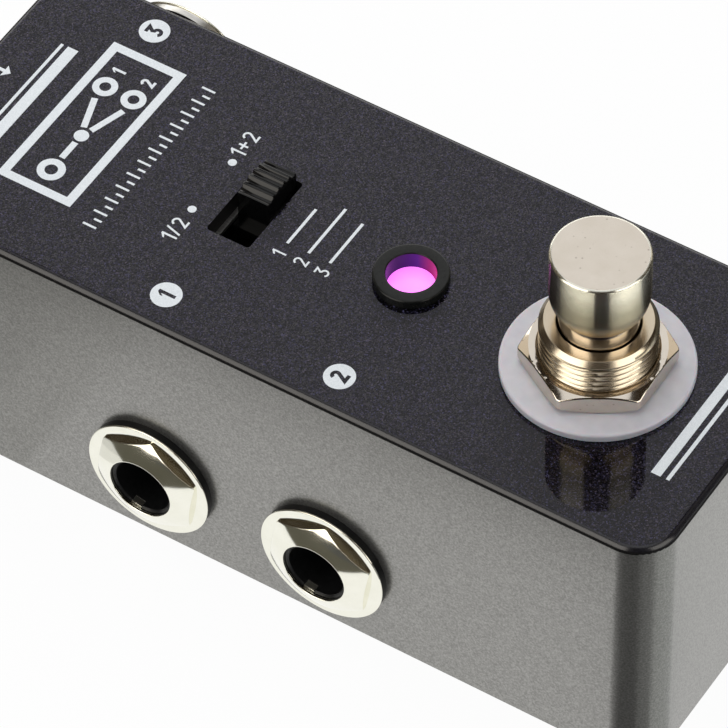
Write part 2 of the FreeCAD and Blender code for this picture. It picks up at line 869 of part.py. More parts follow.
def makeJackBody(name, at, turned):
    body = keep(f"{name}_body", newBody(f"{name}_body"))
    half = size.jackWidth / 2
    block = newSketch(body, "XY_Plane", jackBack)
    roundedBox(block, (-half, half), (-size.jackFar, size.jackBoardSide), size.jackCorner)
    pad(body, block, size.jackDeep)
    mouth = size.jackEndTop
    spin(body, [(0, -size.sideWall), (size.jackThreadRadius, -size.sideWall),
                (size.jackThreadRadius, size.jackThreadTop), (size.jackEndRadius, size.jackThreadTop),
                (size.jackEndRadius, mouth), (0, mouth)])
    bore = size.jackBore
    chamfer = size.jackMouthChamfer
    boreEnd = mouth - chamfer - size.jackBoreLength
    chamber = size.jackChamber
    chamberEnd = jackBack + size.jackBackWall
    spin(body, [(0, mouth), (bore + chamfer, mouth), (bore, mouth - chamfer), (bore, boreEnd),
                (chamber, boreEnd), (chamber, chamberEnd), (0, chamberEnd)], "PartDesign::Groove")
    notch = newSketch(body, "XY_Plane", mouth, size.jackNotchTurn)
    drawBox(notch, (size.jackBore - size.jackNotchDepth, size.jackThreadRadius - size.jackNotchRim),
            around(asLength(0), size.jackNotchWidth))
    pocket(body, notch, size.jackNotchDepth)
    slots = newSketch(body, "XZ_Plane", -size.jackBoardSide)
    halfSlot = size.contactWidth / 2 + size.contactSlotGap
    for deep, reach, dip in contacts.values():
        drawBox(slots, (-halfSlot, halfSlot),
                (-deep - size.contactSheet - size.contactSlotGap, -deep + size.contactSlotGap))
    pocket(body, slots, size.jackBoardSide - size.contactLeaf, reverse=True)
    place(body, at, turned)


def makeJackTab(name, at, turned):
    # the end of the sleeve contact, lying in the notch at the mouth
    body = keep(f"{name}_mouth_tab", newBody(f"{name}_mouth_tab"))
    strip = newSketch(body, "XY_Plane", size.jackEndTop - size.jackNotchDepth, size.jackNotchTurn)
    drawBox(strip, (size.jackBore + size.jackTabGap, size.jackBore + size.jackTabSheet),
            around(asLength(0), size.jackNotchWidth - size.jackTabGap * 2))
    pad(body, strip, size.jackNotchDepth - size.jackTabGap)
    place(body, at, turned)


def makeJackNut(name, at, turned):
    # a thin round flange, a hexagon and a polished dome with a lip round the opening
    body = keep(f"{name}_nut", newBody(f"{name}_nut"))
    seat = size.jackWasherThickness
    flange = newSketch(body, "XY_Plane", seat)
    drawCircle(flange, 0, 0, size.jackNutFlange)
    pad(body, flange, size.jackNutFlangeThickness)
    hexagon = newSketch(body, "XY_Plane", seat, size.jackNutTurn)
    drawHexagon(hexagon, size.jackNutFlats)
    pad(body, hexagon, size.jackNutTop)
    corner = hexCorner(size.jackNutFlats)
    shoulder = seat + size.jackNutFlangeThickness + size.jackNutShoulder
    brow = size.jackNutLip + size.jackNutLipEdge
    high = seat + size.jackNutTop
    spin(body, [(corner, high), (corner + 1, high), (corner + 1, shoulder), (corner, shoulder),
                (brow, high, size.jackNutDomeRadius, seat + size.jackNutDome)], "PartDesign::Groove")
    lip = size.jackNutLip
    ledge = high - size.jackNutLipDepth
    room = high - size.jackNutRoomDepth
    end = size.jackEndRadius + size.jackThreadGap * 2
    spin(body, [(0, seat), (jackFit, seat), (jackFit, room), (end, room), (end, ledge), (lip, ledge),
                (lip, high - size.jackNutLipEdge), (brow, high), (0, high)], "PartDesign::Groove")
    place(body, at, turned)


def makeJackWasher(name, at, turned):
    body = keep(f"{name}_washer", newBody(f"{name}_washer"))
    ring = newSketch(body, "XY_Plane")
    drawCircle(ring, 0, 0, size.jackWasherRadius)
    drawCircle(ring, 0, 0, jackFit)
    pad(body, ring, size.jackWasherThickness)
    place(body, at, turned)


def makeContact(name, leaf, pinTop, deep, reach, dip, at, turned):
    # a bent strip: a pin through the board, a leaf along the bore and a dip towards the axis
    body = keep(name, newBody(name))
    sheet = size.contactSheet
    bend = reach / 2 - deep
    tip = reach - deep
    profile = newSketch(body, "YZ_Plane")
    drawLoop(profile, [(pinTop, -deep - sheet), (leaf, -deep - sheet), (leaf, bend), (leaf - dip, tip),
                       (leaf - dip + sheet, tip), (leaf + sheet, bend), (leaf + sheet, -deep),
                       (pinTop, -deep)])
    pad(body, profile, size.contactWidth, middle=True)
    place(body, at, turned)


# power jack: the same kind of frame, on the -X end

powerOrigin = (-endX, 0, powerHeight)
snoutFace = size.powerSnoutLength - size.sideWall
powerBack = -size.sideWall - size.powerDeep
powerPinTop = size.powerBoardSide + size.boardThickness + size.contactBeyondBoard


def makePowerHousing():
    body = keep("power_jack_housing", newBody("power_jack_housing"))
    half = size.powerWidth / 2
    block = newSketch(body, "XY_Plane", powerBack)
    drawBox(block, (-half, half), (size.powerBoardSide - size.powerTall, size.powerBoardSide))
    pad(body, block, size.powerDeep)
    spin(body, [(0, -size.sideWall), (size.powerSnout, -size.sideWall), (size.powerSnout, snoutFace),
                (0, snoutFace)])
    boreEnd = snoutFace - size.powerBoreDepth
    pinHole = size.powerRootRadius + size.powerPinGap
    spin(body, [(0, snoutFace), (size.powerBore, snoutFace), (size.powerBore, boreEnd), (pinHole, boreEnd),
                (pinHole, powerBack), (0, powerBack)], "PartDesign::Groove")
    halfSlot = size.contactWidth / 2 + size.contactSlotGap
    behind = -size.powerContactDeep - size.contactSheet - size.contactSlotGap
    slot = newSketch(body, "XZ_Plane", -size.powerBoardSide)
    drawBox(slot, (-halfSlot, halfSlot), (behind, size.contactSlotGap - size.powerContactDeep))
    pocket(body, slot, size.powerBoardSide, reverse=True)
    room = newSketch(body, "YZ_Plane")
    drawBox(room, (0, size.powerContactLeaf + size.contactSheet + size.contactSlotGap),
            (behind, size.powerContactReach - size.powerContactDeep + size.contactSlotGap))
    pocket(body, room, halfSlot * 2, middle=True)
    place(body, powerOrigin, towardEnd)


def makePowerPin():
    body = keep("power_jack_pin", newBody("power_jack_pin"))
    nose = snoutFace - size.powerPinSink
    radius = size.powerPinRadius
    root = size.powerRootRadius
    tip = size.powerPinTip
    tailBack = powerBack - size.contactSheet
    shoulder = snoutFace - size.powerBoreDepth + size.powerShoulderGap
    spin(body, [(0, tailBack), (root, tailBack), (root, shoulder), (radius, shoulder), (radius, nose - tip),
                (radius - tip, nose), (0, nose)])
    tail = newSketch(body, "XY_Plane", tailBack)
    half = size.contactWidth / 2
    drawBox(tail, (-half, half), (-half, powerPinTop))
    pad(body, tail, size.contactSheet)
    place(body, powerOrigin, towardEnd)


# boards

boardSlot = size.contactSheet + size.contactSlotGap * 2
pinSlot = size.contactWidth + size.contactSlotGap * 2
headerY = boardSide - size.headerInset
headerSpots = [(size.headerX + size.headerPitch * number, headerY) for number in range(10)]


def contactSlots(x, wall, inward):
    # where the contacts of a jack pass the board, inward is the way from the wall to the middle
    return [(around(x, pinSlot), around(wall + inward * (deep + size.contactSheet / 2), boardSlot))
            for deep, reach, dip in contacts.values()]


def drillBoard(name, outline, height, slots, holes):
    body = keep(name, newBody(name))
    plate = newSketch(body, "XY_Plane", height)
    drawBox(plate, *outline)
    pad(body, plate, size.boardThickness)
    cuts = newSketch(body, "XY_Plane", height + size.boardThickness)
    for x, y in slots:
        drawBox(cuts, x, y)
    for x, y, radius in holes:
        drawCircle(cuts, x, y, radius)
    pocket(body, cuts, size.boardThickness)


def makeMainBoard():
    lugGap = size.lugHoleGap * 2
    slots = [(around(x, size.lugSheet + lugGap), around(y, size.lugWidth + lugGap)) for x, y in lugSpots]
    for x in (size.outputOneX, size.outputTwoX):
        slots += contactSlots(x, -endY, 1)
    for deep in (size.powerContactDeep, -powerBack):
        slots.append((around(-endX + deep + size.contactSheet / 2, boardSlot), around(asLength(0), pinSlot)))
    holes = [(x, y, size.headerHoleRadius) for x, y in headerSpots]
    drillBoard("main_board", ((-boardEnd, boardEnd), (-boardSide, boardSide)), boardUnder, slots, holes)


def makeSwitchBoard():
    pinGap = size.lugHoleGap * 2
    slots = [(around(size.slideX + x, size.slidePinSheet + pinGap), around(y, size.slidePinWidth + pinGap))
             for x, y in slidePinSpots]
    slots += contactSlots(commonX, endY, -1)
    holes = [(x, y, size.headerHoleRadius) for x, y in headerSpots]
    holes += [(x, y, size.leadHoleRadius) for x, y in leadSpots]
    outline = ((-boardEnd, size.lampX + size.upperBoardBeyond), (-boardSide, boardSide))
    drillBoard("switch_board", outline, upperUnder, slots, holes)


def makeHeader():
    body = keep("board_header", newBody("board_header"))
    strip = newSketch(body, "XY_Plane", boardTop)
    first, last = headerSpots[0][0], headerSpots[-1][0]
    half = size.headerPitch / 2
    drawBox(strip, (first - half, last + half), around(headerY, size.headerWidth))
    for x, y in headerSpots:
        drawBox(strip, around(x, size.headerPinSide), around(y, size.headerPinSide))
    pad(body, strip, upperUnder - boardTop)
    reach = (boardUnder - size.headerPinBeyond, upperTop + size.headerPinBeyond)
    pins = [box(f"header_pin_{number}", around(x, size.headerPinSide), around(y, size.headerPinSide), reach)
            for number, (x, y) in enumerate(headerSpots, start=1)]
    keep("board_header_pins", gather("board_header_pins", pins))


def makeBoardParts():
    canX = powerEndX + size.capacitorBehind
    chipX = powerEndX + size.chipBehind
    cans = [rod(f"capacitor_{number}", size.capacitorRadius, (canX, side * size.capacitorY),
                (boardUnder - size.capacitorHeight, boardUnder))
            for number, side in enumerate((-1, 1), start=1)]
    keep("capacitors", gather("capacitors", cans))
    chips = [box(f"chip_{number}", around(chipX + size.chipPitch * step, size.chipWidth),
                 around(boardSide - size.chipInset, size.chipLength),
                 (boardUnder - size.chipHeight, boardUnder))
             for number, step in enumerate((-2, -1, 0, 1, 2), start=1)]
    keep("chip_resistors", gather("chip_resistors", chips))
    diodeX = powerEndX + size.diodeBehind
    keep("protection_diode", box("protection_diode", around(diodeX, size.diodeWidth),
                                 around(asLength(0), size.diodeLength),
                                 (boardUnder - size.diodeHeight, boardUnder)))


makeShell()
makeBasePlate()
makeBaseScrews()
makeFootCap()
makeFootBushing()
makeHexNut("footswitch_nut", washerTop, size.footNutThickness)
makeFootWasher()
makeLockWasher()
makeHexNut("footswitch_inner_nut", innerNutUnder, size.innerNutThickness)
makeFootFrame()
makeFootBody()
makeFootTerminals()
makeFootSpring()
makeBezel()
makeLamp()
makeLeads()
makeSlideKnob()
makeSlideContact()
makeSlideFrame()
makeSlideBase()
makeSlideTerminals()
for jack, (spot, way) in jacks.items():
    makeJackBody(jack, spot, way)
    makeJackTab(jack, spot, way)
    makeJackNut(jack, spot, way)
    makeJackWasher(jack, spot, way)
    for part, shape in contacts.items():
        makeContact(f"{jack}_{part}", size.contactLeaf, pinReach, *shape, spot, way)
makePowerHousing()
makePowerPin()
makeContact("power_jack_contact", size.powerContactLeaf, powerPinTop, size.powerContactDeep,
            size.powerContactReach, size.powerContactDip, powerOrigin, towardEnd)
makeMainBoard()
makeSwitchBoard()
makeHeader()
makeBoardParts()

doc.recompute()
for thing in doc.Objects:
    if "Invalid" in thing.State or "Error" in thing.State:
        raise RuntimeError(f"{thing.Name} did not build: {thing.State}")
for piece in nodes:
    if piece.Shape.isNull() or not piece.Shape.isValid() or not piece.Shape.Solids:
        raise RuntimeError(f"{piece.Label} has no sound solid")

os.makedirs("parts", exist_ok=True)
for piece in nodes:
    piece.Shape.exportStep(f"parts/{piece.Label}.step")
    print(f"{piece.Label}: {len(piece.Shape.Solids)} solids, {piece.Shape.Volume:.1f} mm3")
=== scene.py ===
# A line selector pedal: painted shell, plated footswitch, slide switch, lamp and three jacks.
# Sizes in the dictionaries are millimetres; meshes are built in metres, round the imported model.
import json
import math

import bmesh
import bpy
from mathutils import Matrix, Vector


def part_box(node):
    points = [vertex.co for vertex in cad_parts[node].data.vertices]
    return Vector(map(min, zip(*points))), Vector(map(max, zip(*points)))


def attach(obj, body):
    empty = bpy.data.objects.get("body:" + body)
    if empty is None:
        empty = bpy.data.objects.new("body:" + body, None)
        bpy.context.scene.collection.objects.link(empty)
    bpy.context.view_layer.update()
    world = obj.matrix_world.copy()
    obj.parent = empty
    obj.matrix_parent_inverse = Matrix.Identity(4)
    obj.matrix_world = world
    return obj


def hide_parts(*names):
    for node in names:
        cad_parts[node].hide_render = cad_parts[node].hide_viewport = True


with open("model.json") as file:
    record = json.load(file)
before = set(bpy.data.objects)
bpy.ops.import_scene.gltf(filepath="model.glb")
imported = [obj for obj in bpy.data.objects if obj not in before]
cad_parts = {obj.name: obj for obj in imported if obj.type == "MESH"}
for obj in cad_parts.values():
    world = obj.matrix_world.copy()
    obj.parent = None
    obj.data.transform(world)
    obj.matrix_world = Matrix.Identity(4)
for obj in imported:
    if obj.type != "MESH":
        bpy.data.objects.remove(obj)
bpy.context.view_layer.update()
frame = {"nodes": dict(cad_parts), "record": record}
mm = 0.001
print("frame loaded:", len(frame["nodes"]), "nodes")


def middleOf(node):
    low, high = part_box(node)
    return (low + high) / 2


shellLow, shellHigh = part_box("enclosure_shell")
panelHeight = shellHigh.z
cornerRadius = 4.5
cameraTurn = 33.0215
footSpot = Vector((middleOf("footswitch_washer").x, 0, panelHeight))
lampSpot = Vector((middleOf("led_bezel").x, 0, panelHeight))
knobSpot = middleOf("slide_switch_knob")


# materials

def newMaterial(name, **values):
    material = bpy.data.materials.new(name)
    material.use_nodes = True
    shader = material.node_tree.nodes["Principled BSDF"]
    for socket, value in values.items():
        shader.inputs[socket.replace("_", " ")].default_value = value
    return material, material.node_tree, shader


def addNode(tree, kind, inputs=None, **settings):
    # inputs are plain values, sockets or fields
    node = tree.nodes.new(kind)
    for name, value in settings.items():
        setattr(node, name, value)
    for name, value in (inputs or {}).items():
        given = value.socket if isinstance(value, Field) else value
        if isinstance(given, bpy.types.NodeSocket):
            tree.links.new(given, node.inputs[name])
        else:
            node.inputs[name].default_value = given
    return node


class Field:
    # a number in a node tree, worked on with + - * / and named operations
    def __init__(self, tree, socket):
        self.tree = tree
        self.socket = socket

    def run(self, operation, *others):
        node = self.tree.nodes.new("ShaderNodeMath")
        node.operation = operation
        for socket, value in zip(node.inputs, (self, *others)):
            if isinstance(value, Field):
                self.tree.links.new(value.socket, socket)
            else:
                socket.default_value = value
        return Field(self.tree, node.outputs[0])

    def __add__(self, other):
        return self.run("ADD", other)

    def __sub__(self, other):
        return self.run("SUBTRACT", other)

    def __mul__(self, other):
        return self.run("MULTIPLY", other)

    def __truediv__(self, other):
        return self.run("DIVIDE", other)


def objectPlace(tree):
    return addNode(tree, "ShaderNodeTexCoord").outputs["Object"]


def grainNoise(tree, cell, detail=2.0, roughness=0.5):
    # cell is the size of one grain in mm
    inputs = {"Vector": objectPlace(tree), "Scale": 1 / (cell * mm), "Detail": detail, "Roughness": roughness}
    return addNode(tree, "ShaderNodeTexNoise", inputs).outputs["Fac"]


def ramp(tree, factor, *stops):
    # stops are (position, colour)
    node = addNode(tree, "ShaderNodeValToRGB", {"Fac": factor})
    elements = node.color_ramp.elements
    while len(elements) < len(stops):
        elements.new(0.5)
    for element, (position, colour) in zip(elements, stops):
        element.position = position
        element.color = (*colour, 1)
    return node.outputs["Color"]


def grey(value):
    return (value, value, value)


def bumpFrom(tree, height, distance, strength=1.0):
    inputs = {"Height": height, "Distance": distance * mm, "Strength": strength}
    return addNode(tree, "ShaderNodeBump", inputs).outputs["Normal"]


def blend(tree, first, second, share=1.0, kind="MIX"):
    # two colours, mixed by a share or multiplied
    inputs = {"Factor": share, 6: first, 7: second}
    return addNode(tree, "ShaderNodeMix", inputs, data_type="RGBA", blend_type=kind).outputs[2]


def placeShare(tree, axis, low, high):
    # 0 to 1 between two places along an axis of the part
    split = addNode(tree, "ShaderNodeSeparateXYZ", {"Vector": objectPlace(tree)})
    span = {"Value": split.outputs[axis], "From Min": low, "From Max": high}
    return addNode(tree, "ShaderNodeMapRange", span).outputs[0]


def makePanelPaint():
    # dark paint full of small leaning metal flakes, under a smooth clear coat
    look = {"flake": 0.13, "flakeTilt": 0.55, "rough": 0.34, "clear": 0.57, "clearRough": 0.02,
            "ground": (0.0, (0.003, 0.0026, 0.0045)), "dim": (0.55, (0.005, 0.0045, 0.008)),
            "lit": (0.82, (0.018, 0.0168, 0.0285)), "bright": (1.0, (0.064, 0.060, 0.094)),
            "cool": (0.86, 0.90, 1.20, 1), "warm": (1.14, 1.0, 0.90, 1), "peelCell": 0.16,
            "orangePeel": 0.0004}
    material, tree, shader = newMaterial("panelPaint", Metallic=1.0, Roughness=look["rough"],
                                         Coat_Weight=look["clear"], Coat_Roughness=look["clearRough"])
    cells = addNode(tree, "ShaderNodeTexVoronoi", {"Vector": objectPlace(tree),
                                                   "Scale": 1 / (look["flake"] * mm)})
    tint = addNode(tree, "ShaderNodeSeparateColor", {"Color": cells.outputs["Color"]})
    flakes = ramp(tree, tint.outputs["Red"], look["ground"], look["dim"], look["lit"], look["bright"])
    hue = blend(tree, look["cool"], look["warm"], tint.outputs["Green"])
    tree.links.new(blend(tree, flakes, hue, kind="MULTIPLY"), shader.inputs["Base Color"])

    def work(operation, inputs):
        return addNode(tree, "ShaderNodeVectorMath", inputs, operation=operation).outputs[0]

    lean = work("SUBTRACT", {0: cells.outputs["Color"], 1: grey(0.5)})
    tilt = work("SCALE", {0: lean, "Scale": look["flakeTilt"]})
    upright = addNode(tree, "ShaderNodeNewGeometry").outputs["Normal"]
    flakeNormal = work("NORMALIZE", {0: work("ADD", {0: upright, 1: tilt})})
    tree.links.new(flakeNormal, shader.inputs["Normal"])
    peel = bumpFrom(tree, grainNoise(tree, look["peelCell"], detail=1.0), look["orangePeel"])
    tree.links.new(peel, shader.inputs["Coat Normal"])
    return material


def makeSidePaint():
    # rough satin paint with metal in it
    look = {"grain": 0.2, "dark": (0.32, (0.190, 0.187, 0.176)), "light": (0.68, (0.375, 0.369, 0.350)),
            "relief": 0.010, "bump": 0.6}
    material, tree, shader = newMaterial("sidePaint", Metallic=0.85, Roughness=0.28)
    speck = grainNoise(tree, look["grain"], detail=3.0, roughness=0.7)
    tree.links.new(ramp(tree, speck, look["dark"], look["light"]), shader.inputs["Base Color"])
    tree.links.new(bumpFrom(tree, speck, look["relief"], look["bump"]), shader.inputs["Normal"])
    return material


def makeSpeckled(name, rough, cell, low, high, **values):
    # plain paint or ink with a fine grain; low and high are (position, colour)
    material, tree, shader = newMaterial(name, Roughness=rough, **values)
    tree.links.new(ramp(tree, grainNoise(tree, cell), low, high), shader.inputs["Base Color"])
    return material


def makePlated(name, light, dark, rough, wear=0.04, pits=0.0):
    # polished plate with faint mottling, duller by wear in places, and small dark pits where asked
    look = {"mottle": 2.2, "skin": 0.5, "relief": 0.0006, "bump": 0.5, "pitFrom": 0.82, "pitCore": 0.06,
            "pitEdge": 0.26, "pitDepth": 0.55, "pitColour": (0.22, 0.2, 0.18, 1)}
    material, tree, shader = newMaterial(name, Metallic=1.0)
    mottle = grainNoise(tree, look["mottle"], detail=3.0)
    base = ramp(tree, mottle, (0.25, dark), (0.75, light))
    if pits:
        spots = addNode(tree, "ShaderNodeTexVoronoi", {"Vector": objectPlace(tree), "Scale": 1 / (pits * mm)})
        chance = addNode(tree, "ShaderNodeSeparateColor", {"Color": spots.outputs["Color"]})
        rare = Field(tree, chance.outputs["Red"]).run("GREATER_THAN", look["pitFrom"])
        span = {"Value": spots.outputs["Distance"], "From Min": look["pitCore"], "From Max": look["pitEdge"],
                "To Min": look["pitDepth"], "To Max": 0.0}
        near = Field(tree, addNode(tree, "ShaderNodeMapRange", span).outputs[0])
        base = blend(tree, base, look["pitColour"], rare * near)
    tree.links.new(base, shader.inputs["Base Color"])
    dull = ramp(tree, mottle, (0.3, grey(rough)), (0.8, grey(rough + wear)))
    tree.links.new(dull, shader.inputs["Roughness"])
    skin = bumpFrom(tree, grainNoise(tree, look["skin"]), look["relief"], look["bump"])
    tree.links.new(skin, shader.inputs["Normal"])
    return material


def makeTurned(name, light, dark):
    # plate over fine turning marks that run round: reflections are drawn out along the axis;
    # painted reflection by height: warmest at the neck, darker at the waist and low on the skirt
    look = {"rough": 0.24, "drawnOut": 0.96, "mottle": 1.2, "foot": 9.0, "top": 16.0,
            "neck": (0.0, (0.86, 0.68, 0.46)), "waist": (0.28, (0.62, 0.57, 0.46)),
            "skirt": (0.55, (0.62, 0.60, 0.53)), "unshaded": (0.95, grey(1.0))}
    material, tree, shader = newMaterial(name, Metallic=1.0, Roughness=look["rough"],
                                         Anisotropic=look["drawnOut"])
    along = addNode(tree, "ShaderNodeCombineXYZ", {"X": 0.0, "Y": 0.0, "Z": 1.0})
    tree.links.new(along.outputs[0], shader.inputs["Tangent"])
    mottle = ramp(tree, grainNoise(tree, look["mottle"], detail=3.0), (0.3, dark), (0.7, light))
    level = placeShare(tree, "Z", panelHeight + look["foot"] * mm, panelHeight + look["top"] * mm)
    # painted reflection: a colour ramp by height stands in for what the plate mirrors
    paintedReflection = ramp(tree, level, look["neck"], look["waist"], look["skirt"], look["unshaded"])
    tree.links.new(blend(tree, mottle, paintedReflection, kind="MULTIPLY"), shader.inputs["Base Color"])
    return material


def makeMoulded(name, low, high, rough, cell=0.4, relief=0.002, **values):
    # moulded plastic: a slight drift of colour and a fine skin
    material, tree, shader = newMaterial(name, Roughness=rough, **values)
    drift = grainNoise(tree, cell, detail=3.0)
    tree.links.new(ramp(tree, drift, (0.3, low), (0.7, high)), shader.inputs["Base Color"])
    tree.links.new(bumpFrom(tree, drift, relief, strength=0.5), shader.inputs["Normal"])
    return material


def makeSheetMetal(name, low, high, rough):
    # rolled sheet: long fine streaks
    look = {"streaks": (400, 6000, 6000), "relief": 0.001, "bump": 0.4}
    material, tree, shader = newMaterial(name, Metallic=1.0, Roughness=rough)
    drawn = addNode(tree, "ShaderNodeMapping", {"Vector": objectPlace(tree), "Scale": look["streaks"]})
    noise = addNode(tree, "ShaderNodeTexNoise", {"Vector": drawn.outputs[0], "Scale": 1.0, "Detail": 3.0})
    streaks = noise.outputs["Fac"]
    tree.links.new(ramp(tree, streaks, (0.3, low), (0.7, high)), shader.inputs["Base Color"])
    tree.links.new(bumpFrom(tree, streaks, look["relief"], look["bump"]), shader.inputs["Normal"])
    return material


def makeLampGlow():
    look = {"cell": 3.0, "low": (0.3, (1.0, 0.16, 1.0)), "high": (0.7, (1.0, 0.22, 1.0))}
    material, tree, shader = newMaterial("lampGlow", Roughness=0.2, Base_Color=(0.9, 0.3, 0.9, 1),
                                         Emission_Strength=1.0)
    glow = ramp(tree, grainNoise(tree, look["cell"], detail=1.0), look["low"], look["high"])
    tree.links.new(glow, shader.inputs["Emission Color"])
    return material


def makeLampSpill():
    # painted light: the lamp's glow on the wall round it, violet on one side, crimson on the other
    look = {"reach": 2.6, "blue": (0.05, (0.012, 0.003, 0.06)), "violet": (0.35, (0.05, 0.005, 0.16)),
            "rose": (0.62, (0.26, 0.005, 0.09)), "crimson": (0.95, (0.40, 0.004, 0.04))}
    material, tree, shader = newMaterial("lampSpill", Roughness=0.25, Base_Color=(0.02, 0.01, 0.02, 1),
                                         Specular_IOR_Level=0.15, Emission_Strength=1.0)
    reach = look["reach"] * mm
    across = placeShare(tree, "X", lampSpot.x - reach, lampSpot.x + reach)
    glow = ramp(tree, across, look["blue"], look["violet"], look["rose"], look["crimson"])
    tree.links.new(glow, shader.inputs["Emission Color"])
    return material


paint = makePanelPaint()
sidePaint = makeSidePaint()
# where the panel's colour rolls over the edge, too thin there for flakes but glossy
edgePaint = makeSpeckled("edgePaint", rough=0.22, cell=0.2, low=(0.4, (0.006, 0.0055, 0.008)),
                         high=(0.8, (0.014, 0.0135, 0.019)))
# the dull black line where the panel's colour ends
paintRim = makeSpeckled("paintRim", rough=0.6, cell=0.12, low=(0.55, (0.004, 0.0035, 0.004)),
                        high=(0.8, (0.02, 0.018, 0.014)), Specular_IOR_Level=0.1)
ink = makeSpeckled("printInk", rough=0.5, cell=0.12, low=(0.3, (0.66, 0.70, 0.72)),
                   high=(0.7, (0.80, 0.83, 0.85)))
nickel = makePlated("nickelPlate", (0.68, 0.62, 0.545), (0.63, 0.57, 0.49), rough=0.09, pits=0.55)
turnedNickel = makeTurned("turnedNickel", (0.78, 0.76, 0.67), (0.70, 0.68, 0.60))
threadNickel = makePlated("threadNickel", (0.62, 0.54, 0.42), (0.54, 0.46, 0.35), rough=0.20, wear=0.05)
chrome = makePlated("chromePlate", (0.92, 0.91, 0.81), (0.87, 0.86, 0.75), rough=0.09, wear=0.03)
screwMetal = makePlated("screwZinc", (0.30, 0.30, 0.31), (0.22, 0.22, 0.23), rough=0.28)
nylon = makeMoulded("nylonWhite", (0.565, 0.55, 0.585), (0.625, 0.61, 0.64), rough=0.38, cell=1.5,
                    Subsurface_Weight=0.35, Subsurface_Scale=0.001)
blackPlastic = makeMoulded("blackMoulding", grey(0.006), grey(0.012), rough=0.34, Specular_IOR_Level=0.2)
knobPlastic = makeMoulded("knobMoulding", grey(0.002), grey(0.005), rough=0.13, cell=0.2,
                          Specular_IOR_Level=0.32)
bezelPlastic = makeMoulded("bezelMoulding", (0.007, 0.0075, 0.007), (0.012, 0.0125, 0.0115), rough=0.26,
                           Specular_IOR_Level=0.22)
bluePlastic = makeMoulded("switchBlock", (0.02, 0.09, 0.28), (0.03, 0.12, 0.34), rough=0.4)
plateMetal = makeMoulded("plateCoating", grey(0.035), grey(0.055), rough=0.5, cell=0.25, relief=0.004,
                         Metallic=0.5)
boardMask = makeMoulded("boardMask", (0.006, 0.06, 0.02), (0.010, 0.085, 0.03), rough=0.3, cell=1.2)
chipBlack = makeMoulded("chipBlack", grey(0.012), grey(0.02), rough=0.5)
canSleeve = makeMoulded("canSleeve", (0.012, 0.012, 0.02), (0.02, 0.02, 0.03), rough=0.35)
sheetSteel = makeSheetMetal("sheetSteel", (0.48, 0.47, 0.45), (0.66, 0.65, 0.62), rough=0.28)
tinned = makeSheetMetal("tinnedMetal", (0.62, 0.61, 0.58), (0.78, 0.77, 0.74), rough=0.3)
springBronze = makeSheetMetal("springBronze", (0.60, 0.46, 0.22), (0.75, 0.60, 0.32), rough=0.3)
lampGlow = makeLampGlow()
lampSpill = makeLampSpill()

slotLooks = {
    "shell_metal": sidePaint, "plate_metal": plateMetal, "screw_steel": screwMetal, "nickel": nickel,
    "chrome_nut": chrome, "steel": sheetSteel, "nylon": nylon, "black_plastic": blackPlastic,
    "blue_plastic": bluePlastic, "lamp_resin": lampGlow, "tinned": tinned, "contact_brass": springBronze,
    "board": boardMask, "chip": chipBlack, "can": canSleeve,
}
for part in frame["record"]["subparts"]:
    node = frame["nodes"][part["node"]]
    node.data.materials.clear()
    node.data.materials.append(slotLooks[part["material_slot"]])
print("materials made")


# mesh tools

def addObject(name, data):
    item = bpy.data.objects.new(name, data)
    bpy.context.scene.collection.objects.link(item)
    return item


def finishMesh(mesh, name, materials, sharp=28):
    # closes seams, turns faces outwards and shades smooth but for edges over sharp degrees
    bmesh.ops.remove_doubles(mesh, verts=mesh.verts, dist=1e-8)
    bmesh.ops.dissolve_degenerate(mesh, edges=mesh.edges, dist=1e-9)
    bmesh.ops.recalc_face_normals(mesh, faces=mesh.faces)
    data = bpy.data.meshes.new(name)
    mesh.to_mesh(data)
    mesh.free()
    for material in materials:
        data.materials.append(material)
    return smoothed(addObject(name, data), sharp)


def smoothed(piece, sharp=28):
    piece.data.polygons.foreach_set("use_smooth", [True] * len(piece.data.polygons))
    piece.data.set_sharp_from_angle(angle=math.radians(sharp))
    weigh = piece.modifiers.new("weigh", "WEIGHTED_NORMAL")
    weigh.keep_sharp = True
    return evaluated(piece)


def evaluated(piece):
    # the object's modifiers become its own mesh
    shown = piece.evaluated_get(bpy.context.evaluated_depsgraph_get())
    data = bpy.data.meshes.new_from_object(shown)
    piece.modifiers.clear()
    old = piece.data
    piece.data = data
    bpy.data.meshes.remove(old)
    data.name = piece.name
    return piece


def rounded(outline, steps=5):
    # corners given as (radius, height, roundness) become arcs
    points = []
    count = len(outline)
    for index, corner in enumerate(outline):
        here = Vector(corner[:2])
        if len(corner) == 2:
            points.append(here)
            continue
        before = (Vector(outline[index - 1][:2]) - here).normalized()
        after = (Vector(outline[(index + 1) % count][:2]) - here).normalized()
        half = before.angle(after) / 2
        centre = here + (before + after).normalized() * (corner[2] / math.sin(half))
        first = here + before * (corner[2] / math.tan(half)) - centre
        last = here + after * (corner[2] / math.tan(half)) - centre
        points += [centre + first.slerp(last, step / steps) * corner[2] for step in range(steps + 1)]
    return points


def turnOutline(mesh, outlineAt, steps):
    # the outline of (radius, height) points at each step of a turn, as rows of vertices
    rows = []
    for step in range(steps):
        angle = 2 * math.pi * step / steps
        row = [(r * math.cos(angle) * mm, r * math.sin(angle) * mm, h * mm) for r, h in outlineAt(angle)]
        rows.append([mesh.verts.new(point) for point in row])
    return rows


def joinRows(mesh, first, second, closed=True):
    # a strip of faces between two rows of vertices
    count = len(first)
    strip = []
    for index in range(count if closed else count - 1):
        after = (index + 1) % count
        strip.append(mesh.faces.new((first[index], first[after], second[after], second[index])))
    return strip


